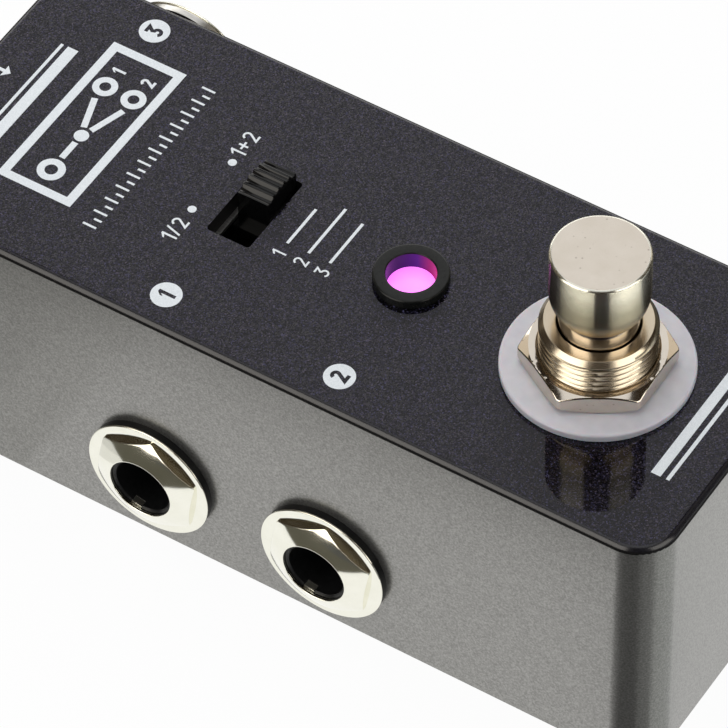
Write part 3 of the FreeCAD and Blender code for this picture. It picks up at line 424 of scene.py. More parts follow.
def sweep(name, outlineAt, at, materials, turned=None, steps=144, pick=None, sharp=28):
    # carries an outline of (radius, height) points round an axis; outlineAt(angle) gives it there
    mesh = bmesh.new()
    rows = turnOutline(mesh, outlineAt, steps)
    for row, after in zip(rows, rows[1:] + rows[:1]):
        for index, face in enumerate(joinRows(mesh, row, after)):
            face.material_index = pick(index) if pick else 0
    place = Matrix.Translation(at) @ (turned or Matrix()).to_4x4()
    bmesh.ops.transform(mesh, matrix=place, verts=mesh.verts)
    return finishMesh(mesh, name, materials, sharp)


def arcThrough(first, via, last):
    # the height of a round arc over radius, through three (radius, height) points
    ax, ay = first
    bx, by = via
    cx, cy = last
    spread = 2 * (ax * (by - cy) + bx * (cy - ay) + cx * (ay - by))
    x = ((ax**2 + ay**2) * (by - cy) + (bx**2 + by**2) * (cy - ay) + (cx**2 + cy**2) * (ay - by)) / spread
    y = ((ax**2 + ay**2) * (cx - bx) + (bx**2 + by**2) * (ax - cx) + (cx**2 + cy**2) * (bx - ax)) / spread
    bend = math.hypot(ax - x, ay - y)
    return lambda radius: y + math.sqrt(bend**2 - (radius - x) ** 2)


def settle(piece, body, slot, *nodes):
    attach(piece, body)
    if nodes:
        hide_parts(*nodes)
    return piece


# shell

def makeShell():
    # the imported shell's own walls: the panel and its rolled edge are painted apart from the sides
    look = {"topEdge": 0.8, "rimTop": 0.48, "wall": 1.85, "level": 0.97, "lying": 0.02, "upright": 0.5,
            "openings": (40, 10), "weld": 0.0002, "flatAngle": 0.5, "sharp": 32}
    coats = {"panel": paint, "side": sidePaint, "rim": paintRim, "edge": edgePaint}
    order = list(coats)
    piece = addObject("painted_shell", frame["nodes"]["enclosure_shell"].data.copy())
    piece.data.materials.clear()
    for coat in coats.values():
        piece.data.materials.append(coat)
    mesh = bmesh.new()
    mesh.from_mesh(piece.data)
    bmesh.ops.remove_doubles(mesh, verts=mesh.verts, dist=look["weld"] * mm)
    bmesh.ops.dissolve_limit(mesh, angle_limit=math.radians(look["flatAngle"]), verts=mesh.verts,
                             edges=mesh.edges)
    edgeStart = panelHeight - look["topEdge"] * mm - 1e-6
    reachX, reachY = look["openings"]
    for face in mesh.faces:
        spot = face.calc_center_median()
        rise = abs(face.normal.z)
        onEdge = min(v.co.z for v in face.verts) > edgeStart and rise > look["lying"]
        inWall = rise < look["upright"] and spot.z > panelHeight - look["wall"] * mm
        inOpening = inWall and abs(spot.x) < reachX * mm and abs(spot.y) < reachY * mm
        if inOpening or onEdge and spot.z < panelHeight - look["rimTop"] * mm:
            coat = "rim"
        elif onEdge:
            coat = "edge" if face.normal.z < look["level"] else "panel"
        else:
            coat = "side"
        face.material_index = order.index(coat)
    mesh.to_mesh(piece.data)
    mesh.free()
    smoothed(piece, look["sharp"])
    settle(piece, "root", "shell_metal", "enclosure_shell")


# footswitch, heights above the panel

footCap = {"radius": 5.1, "top": 16.9, "skirt": 11.85, "waist": (4.9, 10.425), "waistSteps": 14, "stem": 4.1,
           "stemTop": 9.0, "crown": 0.05, "edge": 0.32, "collar": 4.26, "collarTop": 4.0, "collarEnd": 0.0,
           "collarEdges": (0.15, 0.12), "rod": 2.0, "rodEdge": 0.3}
footNut = {"flats": 14.0, "flatsToCorner": 1.732, "turn": -89.0, "under": 0.9, "top": 3.3, "bore": 6.05,
           "cornerWear": 0.10, "slope": 30.0, "slopeStart": 0.06, "edge": 0.2, "boreEdges": (0.15, 0.22)}
footThread = {"outer": 6.0, "depth": 0.42, "pitch": 0.75, "steepness": 1.35, "crest": 0.2, "fade": 0.5,
              "bore": 4.24, "top": 7.0, "chamfer": 0.5, "rimEdge": 0.08, "mouthEdge": 0.15,
              "turnPoints": 180, "pointsPerPitch": 8}
footWasher = {"outer": 9.87, "inner": 6.05, "thick": 0.9, "edge": 0.3, "lowEdge": 0.1}


def makeCap():
    cap = footCap
    rodEnd = (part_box("footswitch_cap")[0].z - panelHeight) / mm
    first = (cap["stem"], cap["stemTop"])
    last = (cap["radius"], cap["skirt"])
    # the waist is a round arc, taken by height
    bend = arcThrough(first[::-1], cap["waist"][::-1], last[::-1])
    steps = cap["waistSteps"]
    heights = [first[1] + (last[1] - first[1]) * step / steps for step in range(steps + 1)]
    waist = [(bend(height), height) for height in heights]
    outline = [(0, rodEnd), (cap["rod"], rodEnd, cap["rodEdge"]), (cap["rod"], cap["collarEnd"]),
               (cap["collar"], cap["collarEnd"], cap["collarEdges"][0]),
               (cap["collar"], cap["collarTop"], cap["collarEdges"][1]), (cap["stem"], cap["collarTop"])]
    outline += waist + [(cap["radius"], cap["top"] - cap["crown"], cap["edge"]), (0, cap["top"])]
    points = rounded(outline, steps=6)
    # the turning marks show from the stem to the rounded edge, and the flat top is plain plate
    inner = sum(1 for r, h in points if h < cap["stemTop"] - 1e-6)
    outer = len(points) - 2
    piece = sweep("footswitch_button", lambda angle: points, footSpot, [nickel, turnedNickel],
                  pick=lambda index: 1 if inner <= index < outer else 0)
    settle(piece, "footswitch_plunger", "nickel", "footswitch_cap")


def hexReach(angle, flats, turn):
    # how far a hexagon reaches from its middle at an angle
    side = (math.degrees(angle) - turn) % 60 - 30
    return flats / 2 / math.cos(math.radians(side))


def makeFootNut():
    nut = footNut
    flat = nut["flats"] / 2
    corner = nut["flats"] / nut["flatsToCorner"] - nut["cornerWear"]
    slope = math.tan(math.radians(nut["slope"]))

    def outlineAt(angle):
        # both faces are turned down to a cone at the corners
        reach = min(hexReach(angle, nut["flats"], nut["turn"]), corner)
        drop = max(reach - flat, 0) * slope
        start = flat - nut["slopeStart"]
        low, high = nut["boreEdges"]
        corners = [(nut["bore"], nut["under"], low), (start, nut["under"]),
                   (reach, nut["under"] + drop, nut["edge"]), (reach, nut["top"] - drop, nut["edge"]),
                   (start, nut["top"]), (nut["bore"], nut["top"], high)]
        return rounded(corners, steps=6)

    piece = sweep("footswitch_plated_nut", outlineAt, footSpot, [nickel], steps=360, sharp=22)
    settle(piece, "root", "nickel", "footswitch_nut")


def makeWasher():
    washer = footWasher
    outline = rounded([(washer["inner"], 0), (washer["outer"], 0, washer["lowEdge"]),
                       (washer["outer"], washer["thick"], washer["edge"]),
                       (washer["inner"], washer["thick"])], steps=6)
    piece = sweep("footswitch_dress_washer", lambda angle: outline, footSpot, [nylon], steps=180)
    settle(piece, "root", "nylon", "footswitch_washer")


def newTree(name, **sizes):
    # a geometry tree with one named input for each size
    tree = bpy.data.node_groups.new(name, "GeometryNodeTree")
    tree.interface.new_socket("Geometry", in_out="INPUT", socket_type="NodeSocketGeometry")
    for word, value in sizes.items():
        kind = "NodeSocketInt" if isinstance(value, int) else "NodeSocketFloat"
        tree.interface.new_socket(word, in_out="INPUT", socket_type=kind).default_value = value
    tree.interface.new_socket("Geometry", in_out="OUTPUT", socket_type="NodeSocketGeometry")
    given = tree.nodes.new("NodeGroupInput")
    return tree, {word: Field(tree, given.outputs[word]) for word in sizes}


def closeTree(tree, geometry, material):
    made = addNode(tree, "GeometryNodeRealizeInstances", {"Geometry": geometry})
    dressed = addNode(tree, "GeometryNodeSetMaterial", {"Geometry": made.outputs[0], "Material": material})
    end = tree.nodes.new("NodeGroupOutput")
    tree.links.new(dressed.outputs[0], end.inputs[0])


def grow(name, tree, sizes):
    # runs a tree with these sizes and keeps the result as a plain mesh
    piece = addObject(name, bpy.data.meshes.new(name))
    modifier = piece.modifiers.new("grow", "NODES")
    modifier.node_group = tree
    for item in tree.interface.items_tree:
        if item.in_out == "INPUT" and item.name in sizes:
            modifier[item.identifier] = sizes[item.name]
    return evaluated(piece)


def threadTree(sizes):
    # a wall whose radius rises and falls along a helix, fading out under the rim
    tree, size = newTree("threadWall", **sizes)
    grid = addNode(tree, "GeometryNodeMeshGrid", {"Size X": 1.0, "Size Y": 1.0,
                                                  "Vertices X": size["Around"] + 1,
                                                  "Vertices Y": size["Along"] + 1})
    place = addNode(tree, "GeometryNodeInputPosition")
    split = addNode(tree, "ShaderNodeSeparateXYZ", {"Vector": place.outputs[0]})
    turn = Field(tree, split.outputs["X"]) + 0.5
    share = Field(tree, split.outputs["Y"]) + 0.5
    height = size["Bottom"] + (size["Top"] - size["Bottom"]) * share
    phase = (height / size["Pitch"] - turn).run("FRACT")
    flank = (phase - 0.5).run("ABSOLUTE") * 2.0
    groove = (flank * footThread["steepness"] - footThread["crest"]).run("MAXIMUM", 0.0).run("MINIMUM", 1.0)
    fade = ((size["Top"] - height) / size["Fade"]).run("MINIMUM", 1.0).run("MAXIMUM", 0.0)
    radius = size["Radius"] - size["Depth"] * groove * fade
    angle = turn * (2 * math.pi)
    spot = addNode(tree, "ShaderNodeCombineXYZ", {"X": radius * angle.run("COSINE"),
                                                  "Y": radius * angle.run("SINE"), "Z": height})
    bent = addNode(tree, "GeometryNodeSetPosition", {"Geometry": grid.outputs["Mesh"],
                                                     "Position": spot.outputs[0]})
    closed = addNode(tree, "GeometryNodeMergeByDistance", {"Geometry": bent.outputs[0], "Distance": 1e-7})
    closeTree(tree, closed.outputs[0], threadNickel)
    return tree


def makeBushing():
    # threaded outside, plain flat ring and bore
    thread = footThread
    bottom = (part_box("footswitch_bushing")[0].z - panelHeight) / mm
    wallTop = thread["top"] - thread["chamfer"]
    turns = (wallTop - bottom) / thread["pitch"]
    sizes = {"Radius": thread["outer"] * mm, "Depth": thread["depth"] * mm, "Pitch": thread["pitch"] * mm,
             "Bottom": bottom * mm, "Top": wallTop * mm, "Fade": thread["pitch"] * thread["fade"] * mm,
             "Around": thread["turnPoints"], "Along": int(turns * thread["pointsPerPitch"])}
    wall = grow("threadWall", threadTree(sizes), sizes)
    mesh = bmesh.new()
    mesh.from_mesh(wall.data)
    bpy.data.objects.remove(wall)
    rim = rounded([(thread["outer"], wallTop),
                   (thread["outer"] - thread["chamfer"], thread["top"], thread["rimEdge"]),
                   (thread["bore"], thread["top"], thread["mouthEdge"]), (thread["bore"], bottom)], steps=5)
    rows = turnOutline(mesh, lambda angle: rim, thread["turnPoints"])
    for row, after in zip(rows, rows[1:] + rows[:1]):
        joinRows(mesh, row, after, closed=False)
    bmesh.ops.remove_doubles(mesh, verts=mesh.verts, dist=2e-6)
    bmesh.ops.bridge_loops(mesh, edges=[edge for edge in mesh.edges if edge.is_boundary])
    bmesh.ops.transform(mesh, matrix=Matrix.Translation(footSpot), verts=mesh.verts)
    piece = finishMesh(mesh, "footswitch_threaded_bushing", [threadNickel], sharp=50)
    settle(piece, "root", "nickel", "footswitch_bushing")


# lamp

bezel = {"outer": 3.95, "top": 1.0, "bore": 2.6, "barrel": 3.4, "barrelDepth": 6.0, "edge": 0.22,
         "mouth": 0.15}


def makeBezel():
    size = bezel
    corners = [(size["bore"], -size["barrelDepth"]), (size["barrel"], -size["barrelDepth"]),
               (size["barrel"], 0), (size["outer"], 0), (size["outer"], size["top"], size["edge"]),
               (size["bore"], size["top"], size["mouth"])]
    outline = rounded(corners, steps=5)
    # the last strip is the bore, which the lamp lights
    wall = len(outline) - 1
    piece = sweep("lamp_bezel", lambda angle: outline, lampSpot, [bezelPlastic, lampSpill], steps=160,
                  pick=lambda index: 1 if index == wall else 0)
    settle(piece, "root", "black_plastic", "led_bezel")


# slide switch

knob = {"width": 3.7, "length": 5.3, "end": 1.3, "crown": 0.8, "ribs": 6, "rib": 0.27, "ribEdge": 0.04,
        "hollow": 0.25, "hollowSteps": 10, "sideRound": 0.14, "sideTurn": 0.3, "plateWidth": 5.4,
        "plateLength": 7.0, "plateThick": 1.3}


def knobProfile(under):
    # (along, height) round the raised part, seen across: thin ribs that follow the crown, hollow between
    size = knob
    half = size["length"] / 2
    pitch = (size["length"] - size["rib"]) / (size["ribs"] - 1)
    soft = size["ribEdge"]
    steps = size["hollowSteps"]

    def crown(along):
        return size["end"] + size["crown"] * (1 - (along / half) ** 2)

    profile = [(half, under)]
    for index in range(size["ribs"]):
        middle = half - size["rib"] / 2 - pitch * index
        near = middle + size["rib"] / 2
        far = middle - size["rib"] / 2
        profile += [(near, crown(near) - soft), (near - soft, crown(middle)), (far + soft, crown(middle)),
                    (far, crown(far) - soft)]
        if index == size["ribs"] - 1:
            break
        gap = pitch - size["rib"]
        for step in range(1, steps):
            share = step / steps
            along = far - gap * share
            profile.append((along, crown(along) - soft - size["hollow"] * (1 - (2 * share - 1) ** 2)))
    profile.append((-half, under))
    return profile


def makeKnob():
    size = knob
    under = (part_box("slide_switch_knob")[0].z - panelHeight) / mm
    plateTop = under + size["plateThick"]
    profile = knobProfile(plateTop)
    mesh = bmesh.new()
    width = size["width"] / 2
    lip = size["sideRound"]
    turn = lip * size["sideTurn"]
    # (across, how far below the profile): the flanks roll over into the ribs
    stations = [(-width, lip), (-width + turn, turn), (-width + lip, 0), (width - lip, 0),
                (width - turn, turn), (width, lip)]
    rows = []
    for x, drop in stations:
        row = [mesh.verts.new((x * mm, along * mm, (height - (drop if height > plateTop else 0)) * mm))
               for along, height in profile]
        rows.append(row)
    for first, second in zip(rows, rows[1:]):
        joinRows(mesh, first, second)
    mesh.faces.new(rows[0])
    mesh.faces.new(list(reversed(rows[-1])))
    plate = bmesh.ops.create_cube(mesh, size=mm)["verts"]
    grown = Matrix.Diagonal((size["plateWidth"], size["plateLength"], size["plateThick"], 1))
    lifted = Matrix.Translation((0, 0, (under + plateTop) / 2 * mm))
    bmesh.ops.transform(mesh, matrix=lifted @ grown, verts=plate)
    at = Vector((knobSpot.x, knobSpot.y, panelHeight))
    bmesh.ops.transform(mesh, matrix=Matrix.Translation(at), verts=mesh.verts)
    piece = finishMesh(mesh, "slide_switch_button", [knobPlastic], sharp=30)
    settle(piece, "slide_knob", "black_plastic", "slide_switch_knob")


# jacks, heights out of the wall

jackNut = {"flange": 7.3, "flangeTop": 1.05, "flangeEdges": (0.08, 0.12), "under": 0.85, "flats": 11.2,
           "turn": 82.7, "cornerHeight": 1.25, "domeRadius": 5.4, "domeHeight": 1.86, "brow": 3.8,
           "browHeight": 2.55, "lip": 3.65, "lipDrop": 0.02, "lipEdge": 0.1, "ledge": 2.25, "end": 4.0,
           "room": 1.8, "thread": 4.55, "domeSteps": 12, "cornerWear": 0.08, "edgeRound": 0.07}
jackWasher = {"outer": 7.2, "inner": 4.55, "thick": 0.85, "edge": 0.15}


def makeJackNut(jack, at, turned):
    size = jackNut
    corner = size["flats"] / math.sqrt(3)
    dome = arcThrough((corner, size["cornerHeight"]), (size["domeRadius"], size["domeHeight"]),
                      (size["brow"], size["browHeight"]))

    def outlineAt(angle):
        reach = min(hexReach(angle, size["flats"], size["turn"]), corner - size["cornerWear"])
        low, high = size["flangeEdges"]
        points = [(size["thread"], size["under"]), (size["flange"], size["under"], low),
                  (size["flange"], size["flangeTop"], high), (reach, size["flangeTop"])]
        points.append((reach, dome(reach), size["edgeRound"]))
        for step in range(1, size["domeSteps"] + 1):
            radius = reach + (size["brow"] - reach) * step / size["domeSteps"]
            points.append((radius, dome(radius)))
        points += [(size["lip"], size["browHeight"] - size["lipDrop"], size["lipEdge"]),
                   (size["lip"], size["ledge"]), (size["end"], size["ledge"]), (size["end"], size["room"]),
                   (size["thread"], size["room"])]
        return rounded(points, steps=5)

    piece = sweep(f"{jack}_dome_nut", outlineAt, at, [chrome], turned, steps=240, sharp=24)
    settle(piece, "root", "chrome_nut", f"{jack}_nut")


def makeJackWasher(jack, at, turned, material, slot):
    size = jackWasher
    outline = rounded([(size["inner"], 0), (size["outer"], 0), (size["outer"], size["thick"], size["edge"]),
                       (size["inner"], size["thick"])], steps=4)
    piece = sweep(f"{jack}_seal_washer", lambda angle: outline, at, [material], turned, steps=120)
    settle(piece, "root", slot, f"{jack}_washer")


def makeJacks():
    towardFront = Matrix.Rotation(math.radians(90), 3, "X")
    towardBack = Matrix.Rotation(math.radians(-90), 3, "X")
    # the two outputs have black washers, the common jack a steel one
    jacks = {"output_jack_1": (towardFront, shellLow.y, blackPlastic, "black_plastic"),
             "output_jack_2": (towardFront, shellLow.y, blackPlastic, "black_plastic"),
             "common_jack": (towardBack, shellHigh.y, sheetSteel, "steel")}
    for jack, (turned, wall, material, slot) in jacks.items():
        spot = middleOf(f"{jack}_washer")
        at = Vector((spot.x, wall, spot.z))
        makeJackNut(jack, at, turned)
        makeJackWasher(jack, at, turned, material, slot)


# printed marks, lying on the panel: u runs along +Y as the print is read, v up it along -X

marks = {"thick": 0.02, "letterGap": 0.16}
discs = {"places": {"1": (-14.70, 12.35), "2": (-14.65, -8.18), "3": (15.07, 33.49)}, "radius": 1.65,
         "digit": 2.0, "weight": 0.21, "dots": ((3.82, 16.51), (-3.70, 16.49)), "dotRadius": 0.47}
legends = {"weight": 0.13, "switch": {"1+2": (4.9, 15.9), "1/2": (-8.4, 15.6)}, "switchDigit": 1.8,
           "rows": {"1": (5.0, 7.1), "2": (2.45, 8.7), "3": (-0.1, 7.9)}, "rowDigit": 1.6, "rowLeft": -4.4,
           "lineLeft": -2.5, "lineFrom": -4.2, "line": (0.62, 0.94)}
scale = {"ticks": 23, "foot": 23.3, "heights": (1.6, 0.9), "half": 0.13}
# each stripe reaches from and to along u, and from and to along v
stripes = (((-9, 9), (-41.7, -40.6)), ((-9, 9), (-42.7, -42.3)), ((-9.5, 8.5), (38.6, 39.9)),
           ((-9.5, 8.5), (40.4, 40.75)))
arrow = [(1.4, 43.6), (2.2, 42.8), (3.0, 43.6), (2.4, 43.6), (2.4, 44.6), (2.0, 44.6), (2.0, 43.6)]
diagram = {"frame": ((-10.0, 11.6), (27.2, 36.2)), "frameWidth": 1.0, "middle": 31.7, "stroke": 0.7,
           "inlet": (-6.7, 1.5, 0.7), "line": (-4.8, -2.3), "joint": (-1.2, 0.8), "branch": (-0.1, 0.45, 3.9),
           "outlet": (5.8, 1.35, 0.62), "apart": 1.75, "digit": (8.0, 0.8, 1.6), "weight": 0.19}
digitWidths = {"1": 0.36, "2": 0.6, "3": 0.6, "+": 0.6, "/": 0.4}


def keepMark(mesh, name):
    piece = finishMesh(mesh, name, [ink], sharp=40)
    settle(piece, "root", "shell_metal")


def closeLoop(mesh, verts):
    return [mesh.edges.new((a, b)) for a, b in zip(verts, verts[1:] + verts[:1])]


def addSlab(mesh, outline, holes=()):
    # a flat printed shape from a closed outline of (u, v) points in mm, with holes of the same kind
    top = panelHeight + marks["thick"] * mm
    edges = []
    for loop in (outline, *holes):
        edges += closeLoop(mesh, [mesh.verts.new((-v * mm, u * mm, top)) for u, v in loop])
    filled = bmesh.ops.triangle_fill(mesh, edges=edges, use_beauty=True, use_dissolve=True)
    faces = [item for item in filled["geom"] if isinstance(item, bmesh.types.BMFace)]
    raised = bmesh.ops.extrude_face_region(mesh, geom=faces)
    lowered = [item for item in raised["geom"] if isinstance(item, bmesh.types.BMVert)]
    bmesh.ops.translate(mesh, vec=(0, 0, -marks["thick"] * mm), verts=lowered)


def arc(u, v, radius, start, end, steps=16):
    # points of an arc between two angles in degrees
    turns = [math.radians(start + (end - start) * step / steps) for step in range(steps + 1)]
    return [(u + radius * math.cos(turn), v + radius * math.sin(turn)) for turn in turns]


def disc(u, v, radius, steps=48):
    return arc(u, v, radius, 0, 360, steps)[:-1]


def bar(u, v):
    return [(u[0], v[0]), (u[1], v[0]), (u[1], v[1]), (u[0], v[1])]


def stroke(path, width):
    # the closed outline of a line of this width, mitred where it turns
    left = []
    right = []
    last = len(path) - 1
    for index, point in enumerate(path):
        here = Vector(point)
        coming = (here - Vector(path[index - 1])).normalized() if index else None
        going = (Vector(path[index + 1]) - here).normalized() if index < last else coming
        coming = coming or going
        aside = Vector((-coming.y - going.y, coming.x + going.x)) * (width / 2 / (1 + coming.dot(going)))
        left.append(here + aside)
        right.append(here - aside)
    return left + right[::-1]


def digitShape(character, weight):
    # the outline of a plain numeral one unit tall, in strokes of this weight
    half = weight / 2
    if character == "1":
        edge = digitWidths["1"]
        return [(edge - weight, 0), (edge, 0), (edge, 1), (edge - weight * 0.85, 1), (0, 0.78),
                (0, 0.78 - weight * 0.9), (edge - weight, 0.8)]
    if character == "2":
        return stroke(arc(0.29, 0.71, 0.29 - half, 165, -38) + [(0.16, half), (0.6, half)], weight)
    if character == "3":
        bowl = arc(0.27, 0.3, 0.3 - half, 84, -150)
        return stroke([(0.04, 1 - half), (0.46, 1 - half), (0.25, 0.61)] + bowl, weight)
    if character == "/":
        return [(0, 0), (weight, 0), (0.4, 1), (0.4 - weight, 1)]
    # the plus sign
    low, high = 0.3 - half, 0.3 + half
    return [(0, 0.2 + low), (low, 0.2 + low), (low, 0.2), (high, 0.2), (high, 0.2 + low), (0.6, 0.2 + low),
            (0.6, 0.2 + high), (high, 0.2 + high), (high, 0.8), (low, 0.8), (low, 0.2 + high),
            (0, 0.2 + high)]


def digitLoops(text, u, v, height, weight):
    # the outlines of a short text from its lower left corner
    loops = []
    for character in text:
        loops.append([(u + a * height, v + b * height) for a, b in digitShape(character, weight)])
        u += (digitWidths[character] + marks["letterGap"]) * height
    return loops


def makeDiscs():
    # numbered discs by the jacks, and a dot at each place of the slide switch
    mesh = bmesh.new()
    height = discs["digit"]
    for text, (u, v) in discs["places"].items():
        left = u - digitWidths[text] * height / 2
        holes = digitLoops(text, left, v - height / 2, height, discs["weight"])
        addSlab(mesh, disc(u, v, discs["radius"]), holes)
    for u, v in discs["dots"]:
        addSlab(mesh, disc(u, v, discs["dotRadius"], steps=24))
    keepMark(mesh, "mark_discs")


def makeLegends():
    # the switch's two places, and three numbered rows for the lamp's colours
    mesh = bmesh.new()
    words = [(text, u, v, legends["switchDigit"]) for text, (u, v) in legends["switch"].items()]
    low, high = legends["line"]
    for text, (v, length) in legends["rows"].items():
        words.append((text, legends["rowLeft"], v, legends["rowDigit"]))
        addSlab(mesh, bar((legends["lineLeft"], legends["lineFrom"] + length), (v + low, v + high)))
    for text, u, v, height in words:
        for loop in digitLoops(text, u, v, height, legends["weight"]):
            addSlab(mesh, loop)
    keepMark(mesh, "mark_legends")


def makeScale():
    mesh = bmesh.new()
    foot = scale["foot"]
    for step in range(scale["ticks"]):
        u = step - scale["ticks"] // 2
        height = scale["heights"][step % 2]
        addSlab(mesh, bar((u - scale["half"], u + scale["half"]), (foot, foot + height)))
    keepMark(mesh, "mark_scale")


def makeStripes():
    # a thick and a thin stripe across each end, and an arrow by the power socket
    mesh = bmesh.new()
    for across, along in stripes:
        addSlab(mesh, bar(across, along))
    addSlab(mesh, arrow)
    keepMark(mesh, "mark_stripes")


def makeDiagram():
    # one line in, two lines out, in a frame
    mesh = bmesh.new()
    look = diagram
    middle = look["middle"]
    (left, right), (low, high) = look["frame"]
    wide = look["frameWidth"]
    window = bar((left + wide, right - wide), (low + wide, high - wide))
    addSlab(mesh, bar((left, right), (low, high)), [window])
    u, radius, bore = look["inlet"]
    addSlab(mesh, disc(u, middle, radius), [disc(u, middle, bore, steps=32)])
    addSlab(mesh, bar(look["line"], (middle - look["stroke"] / 2, middle + look["stroke"] / 2)))
    u, radius = look["joint"]
    addSlab(mesh, disc(u, middle, radius, steps=32))
    start, spread, end = look["branch"]
    u, radius, bore = look["outlet"]
    left, below, height = look["digit"]
    for side, text in ((1, "1"), (-1, "2")):
        outlet = middle + side * look["apart"]
        addSlab(mesh, stroke([(start, middle + side * spread), (end, outlet)], look["stroke"]))
        addSlab(mesh, disc(u, outlet, radius), [disc(u, outlet, bore, steps=32)])
        for loop in digitLoops(text, left, outlet - below, height, look["weight"]):
            addSlab(mesh, loop)
    keepMark(mesh, "mark_diagram")


# base screws

baseScrew = {"head": 2.7, "shank": 1.5, "length": 9.0, "tip": 0.4, "edge": 0.1, "armReach": 1.5,
             "armHalf": 0.36, "footReach": 1.2, "footHalf": 0.28, "recess": 1.3}


def crossLoop(mesh, reach, half, height):
    corners = [(reach, half), (half, half), (half, reach), (-half, reach), (-half, half), (-reach, half),
               (-reach, -half), (-half, -half), (-half, -reach), (half, -reach), (half, -half),
               (reach, -half)]
    return [mesh.verts.new((x * mm, y * mm, height * mm)) for x, y in corners]


def oneScrew():
    # a countersunk screw with its head down and a tapered cross recess in it
    size = baseScrew
    mesh = bmesh.new()
    flank = [(size["head"] - size["edge"], 0), (size["head"], size["edge"]),
             (size["shank"], size["head"] - size["shank"]), (size["shank"], size["length"] - size["tip"]),
             (size["shank"] - size["tip"], size["length"])]
    rings = []
    for radius, height in flank:
        rings.append([mesh.verts.new((x * mm, y * mm, height * mm)) for x, y in disc(0, 0, radius)])
    for low, high in zip(rings, rings[1:]):
        joinRows(mesh, low, high)
    mesh.faces.new(rings[-1])
    mouth = crossLoop(mesh, size["armReach"], size["armHalf"], 0)
    foot = crossLoop(mesh, size["footReach"], size["footHalf"], size["recess"])
    rim = [mesh.edges.get((a, b)) for a, b in zip(rings[0], rings[0][1:] + rings[0][:1])]
    bmesh.ops.triangle_fill(mesh, edges=rim + closeLoop(mesh, mouth), use_beauty=True)
    joinRows(mesh, mouth, foot)
    mesh.faces.new(foot)
    return finishMesh(mesh, "base_screw_pattern", [screwMetal], sharp=30)


def makeBaseScrews():
    # the same screw at the four corners of the base
    pattern = oneScrew()
    low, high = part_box("base_screws")
    heads = 2 * baseScrew["head"] * mm
    sizes = {"AcrossX": high.x - low.x - heads, "AcrossY": high.y - low.y - heads}
    tree, size = newTree("screwCorners", **sizes)
    grid = addNode(tree, "GeometryNodeMeshGrid", {"Vertices X": 2, "Vertices Y": 2, "Size X": size["AcrossX"],
                                                  "Size Y": size["AcrossY"]})
    single = addNode(tree, "GeometryNodeObjectInfo", {"Object": pattern})
    spread = addNode(tree, "GeometryNodeInstanceOnPoints", {"Points": grid.outputs["Mesh"],
                                                            "Instance": single.outputs["Geometry"]})
    closeTree(tree, spread.outputs[0], screwMetal)
    screws = grow("base_plate_screws", tree, sizes)
    bpy.data.objects.remove(pattern)
    settle(smoothed(screws, sharp=30), "root", "screw_steel", "base_screws")


# stage

def makeCamera():
    look = {"azimuth": cameraTurn, "elevation": 49.4238, "roll": -0.9638, "distance": 643.879,
            "aimHeight": 15.0, "aimRight": 1.3205, "aimUp": 0.4607, "lens": 309.18, "near": 0.01}
    turn = math.radians(look["azimuth"])
    rise = math.radians(look["elevation"])
    roll = math.radians(look["roll"])
    back = Vector((math.sin(turn) * math.cos(rise), -math.cos(turn) * math.cos(rise), math.sin(rise)))
    right = Vector((math.cos(turn), math.sin(turn), 0))
    up = back.cross(right)
    tiltRight = right * math.cos(roll) + up * math.sin(roll)
    tiltUp = up * math.cos(roll) - right * math.sin(roll)
    aim = Vector((0, 0, look["aimHeight"])) + right * look["aimRight"] + up * look["aimUp"]
    at = (aim + back * look["distance"]) * mm
    data = bpy.data.cameras.new("camera")
    data.lens = look["lens"]
    data.clip_start = look["near"]
    camera = addObject("camera", data)
    axes = Matrix((tiltRight, tiltUp, back)).transposed()
    camera.matrix_world = Matrix.Translation(at) @ axes.to_4x4()
    bpy.context.scene.camera = camera


def seenDirectly(tree):
    # 1 for camera, glossy and transmission rays
    path = tree.nodes.new("ShaderNodeLightPath")
    camera = Field(tree, path.outputs["Is Camera Ray"])
    glossy = Field(tree, path.outputs["Is Glossy Ray"])
    through = Field(tree, path.outputs["Is Transmission Ray"])
    return (camera + glossy + through).run("MINIMUM", 1.0)


def emptyTree(owner):
    # the node tree of a material or world, without its first nodes
    owner.use_nodes = True
    owner.node_tree.nodes.clear()
    return owner.node_tree


def makeWorld():
    look = {"seen": (1, 1, 1, 1), "ambient": (0.92, 0.95, 1.0, 1), "ambientLevel": 0.45}
    world = bpy.data.worlds.new("paleStudio")
    tree = emptyTree(world)
    seen = addNode(tree, "ShaderNodeBackground", {"Color": look["seen"], "Strength": 1.0})
    ambient = addNode(tree, "ShaderNodeBackground", {"Color": look["ambient"],
                                                     "Strength": look["ambientLevel"]})
    mixed = addNode(tree, "ShaderNodeMixShader", {"Fac": seenDirectly(tree), 1: ambient.outputs[0],
                                                  2: seen.outputs[0]})
    addNode(tree, "ShaderNodeOutputWorld", {"Surface": mixed.outputs[0]})
    bpy.context.scene.world = world


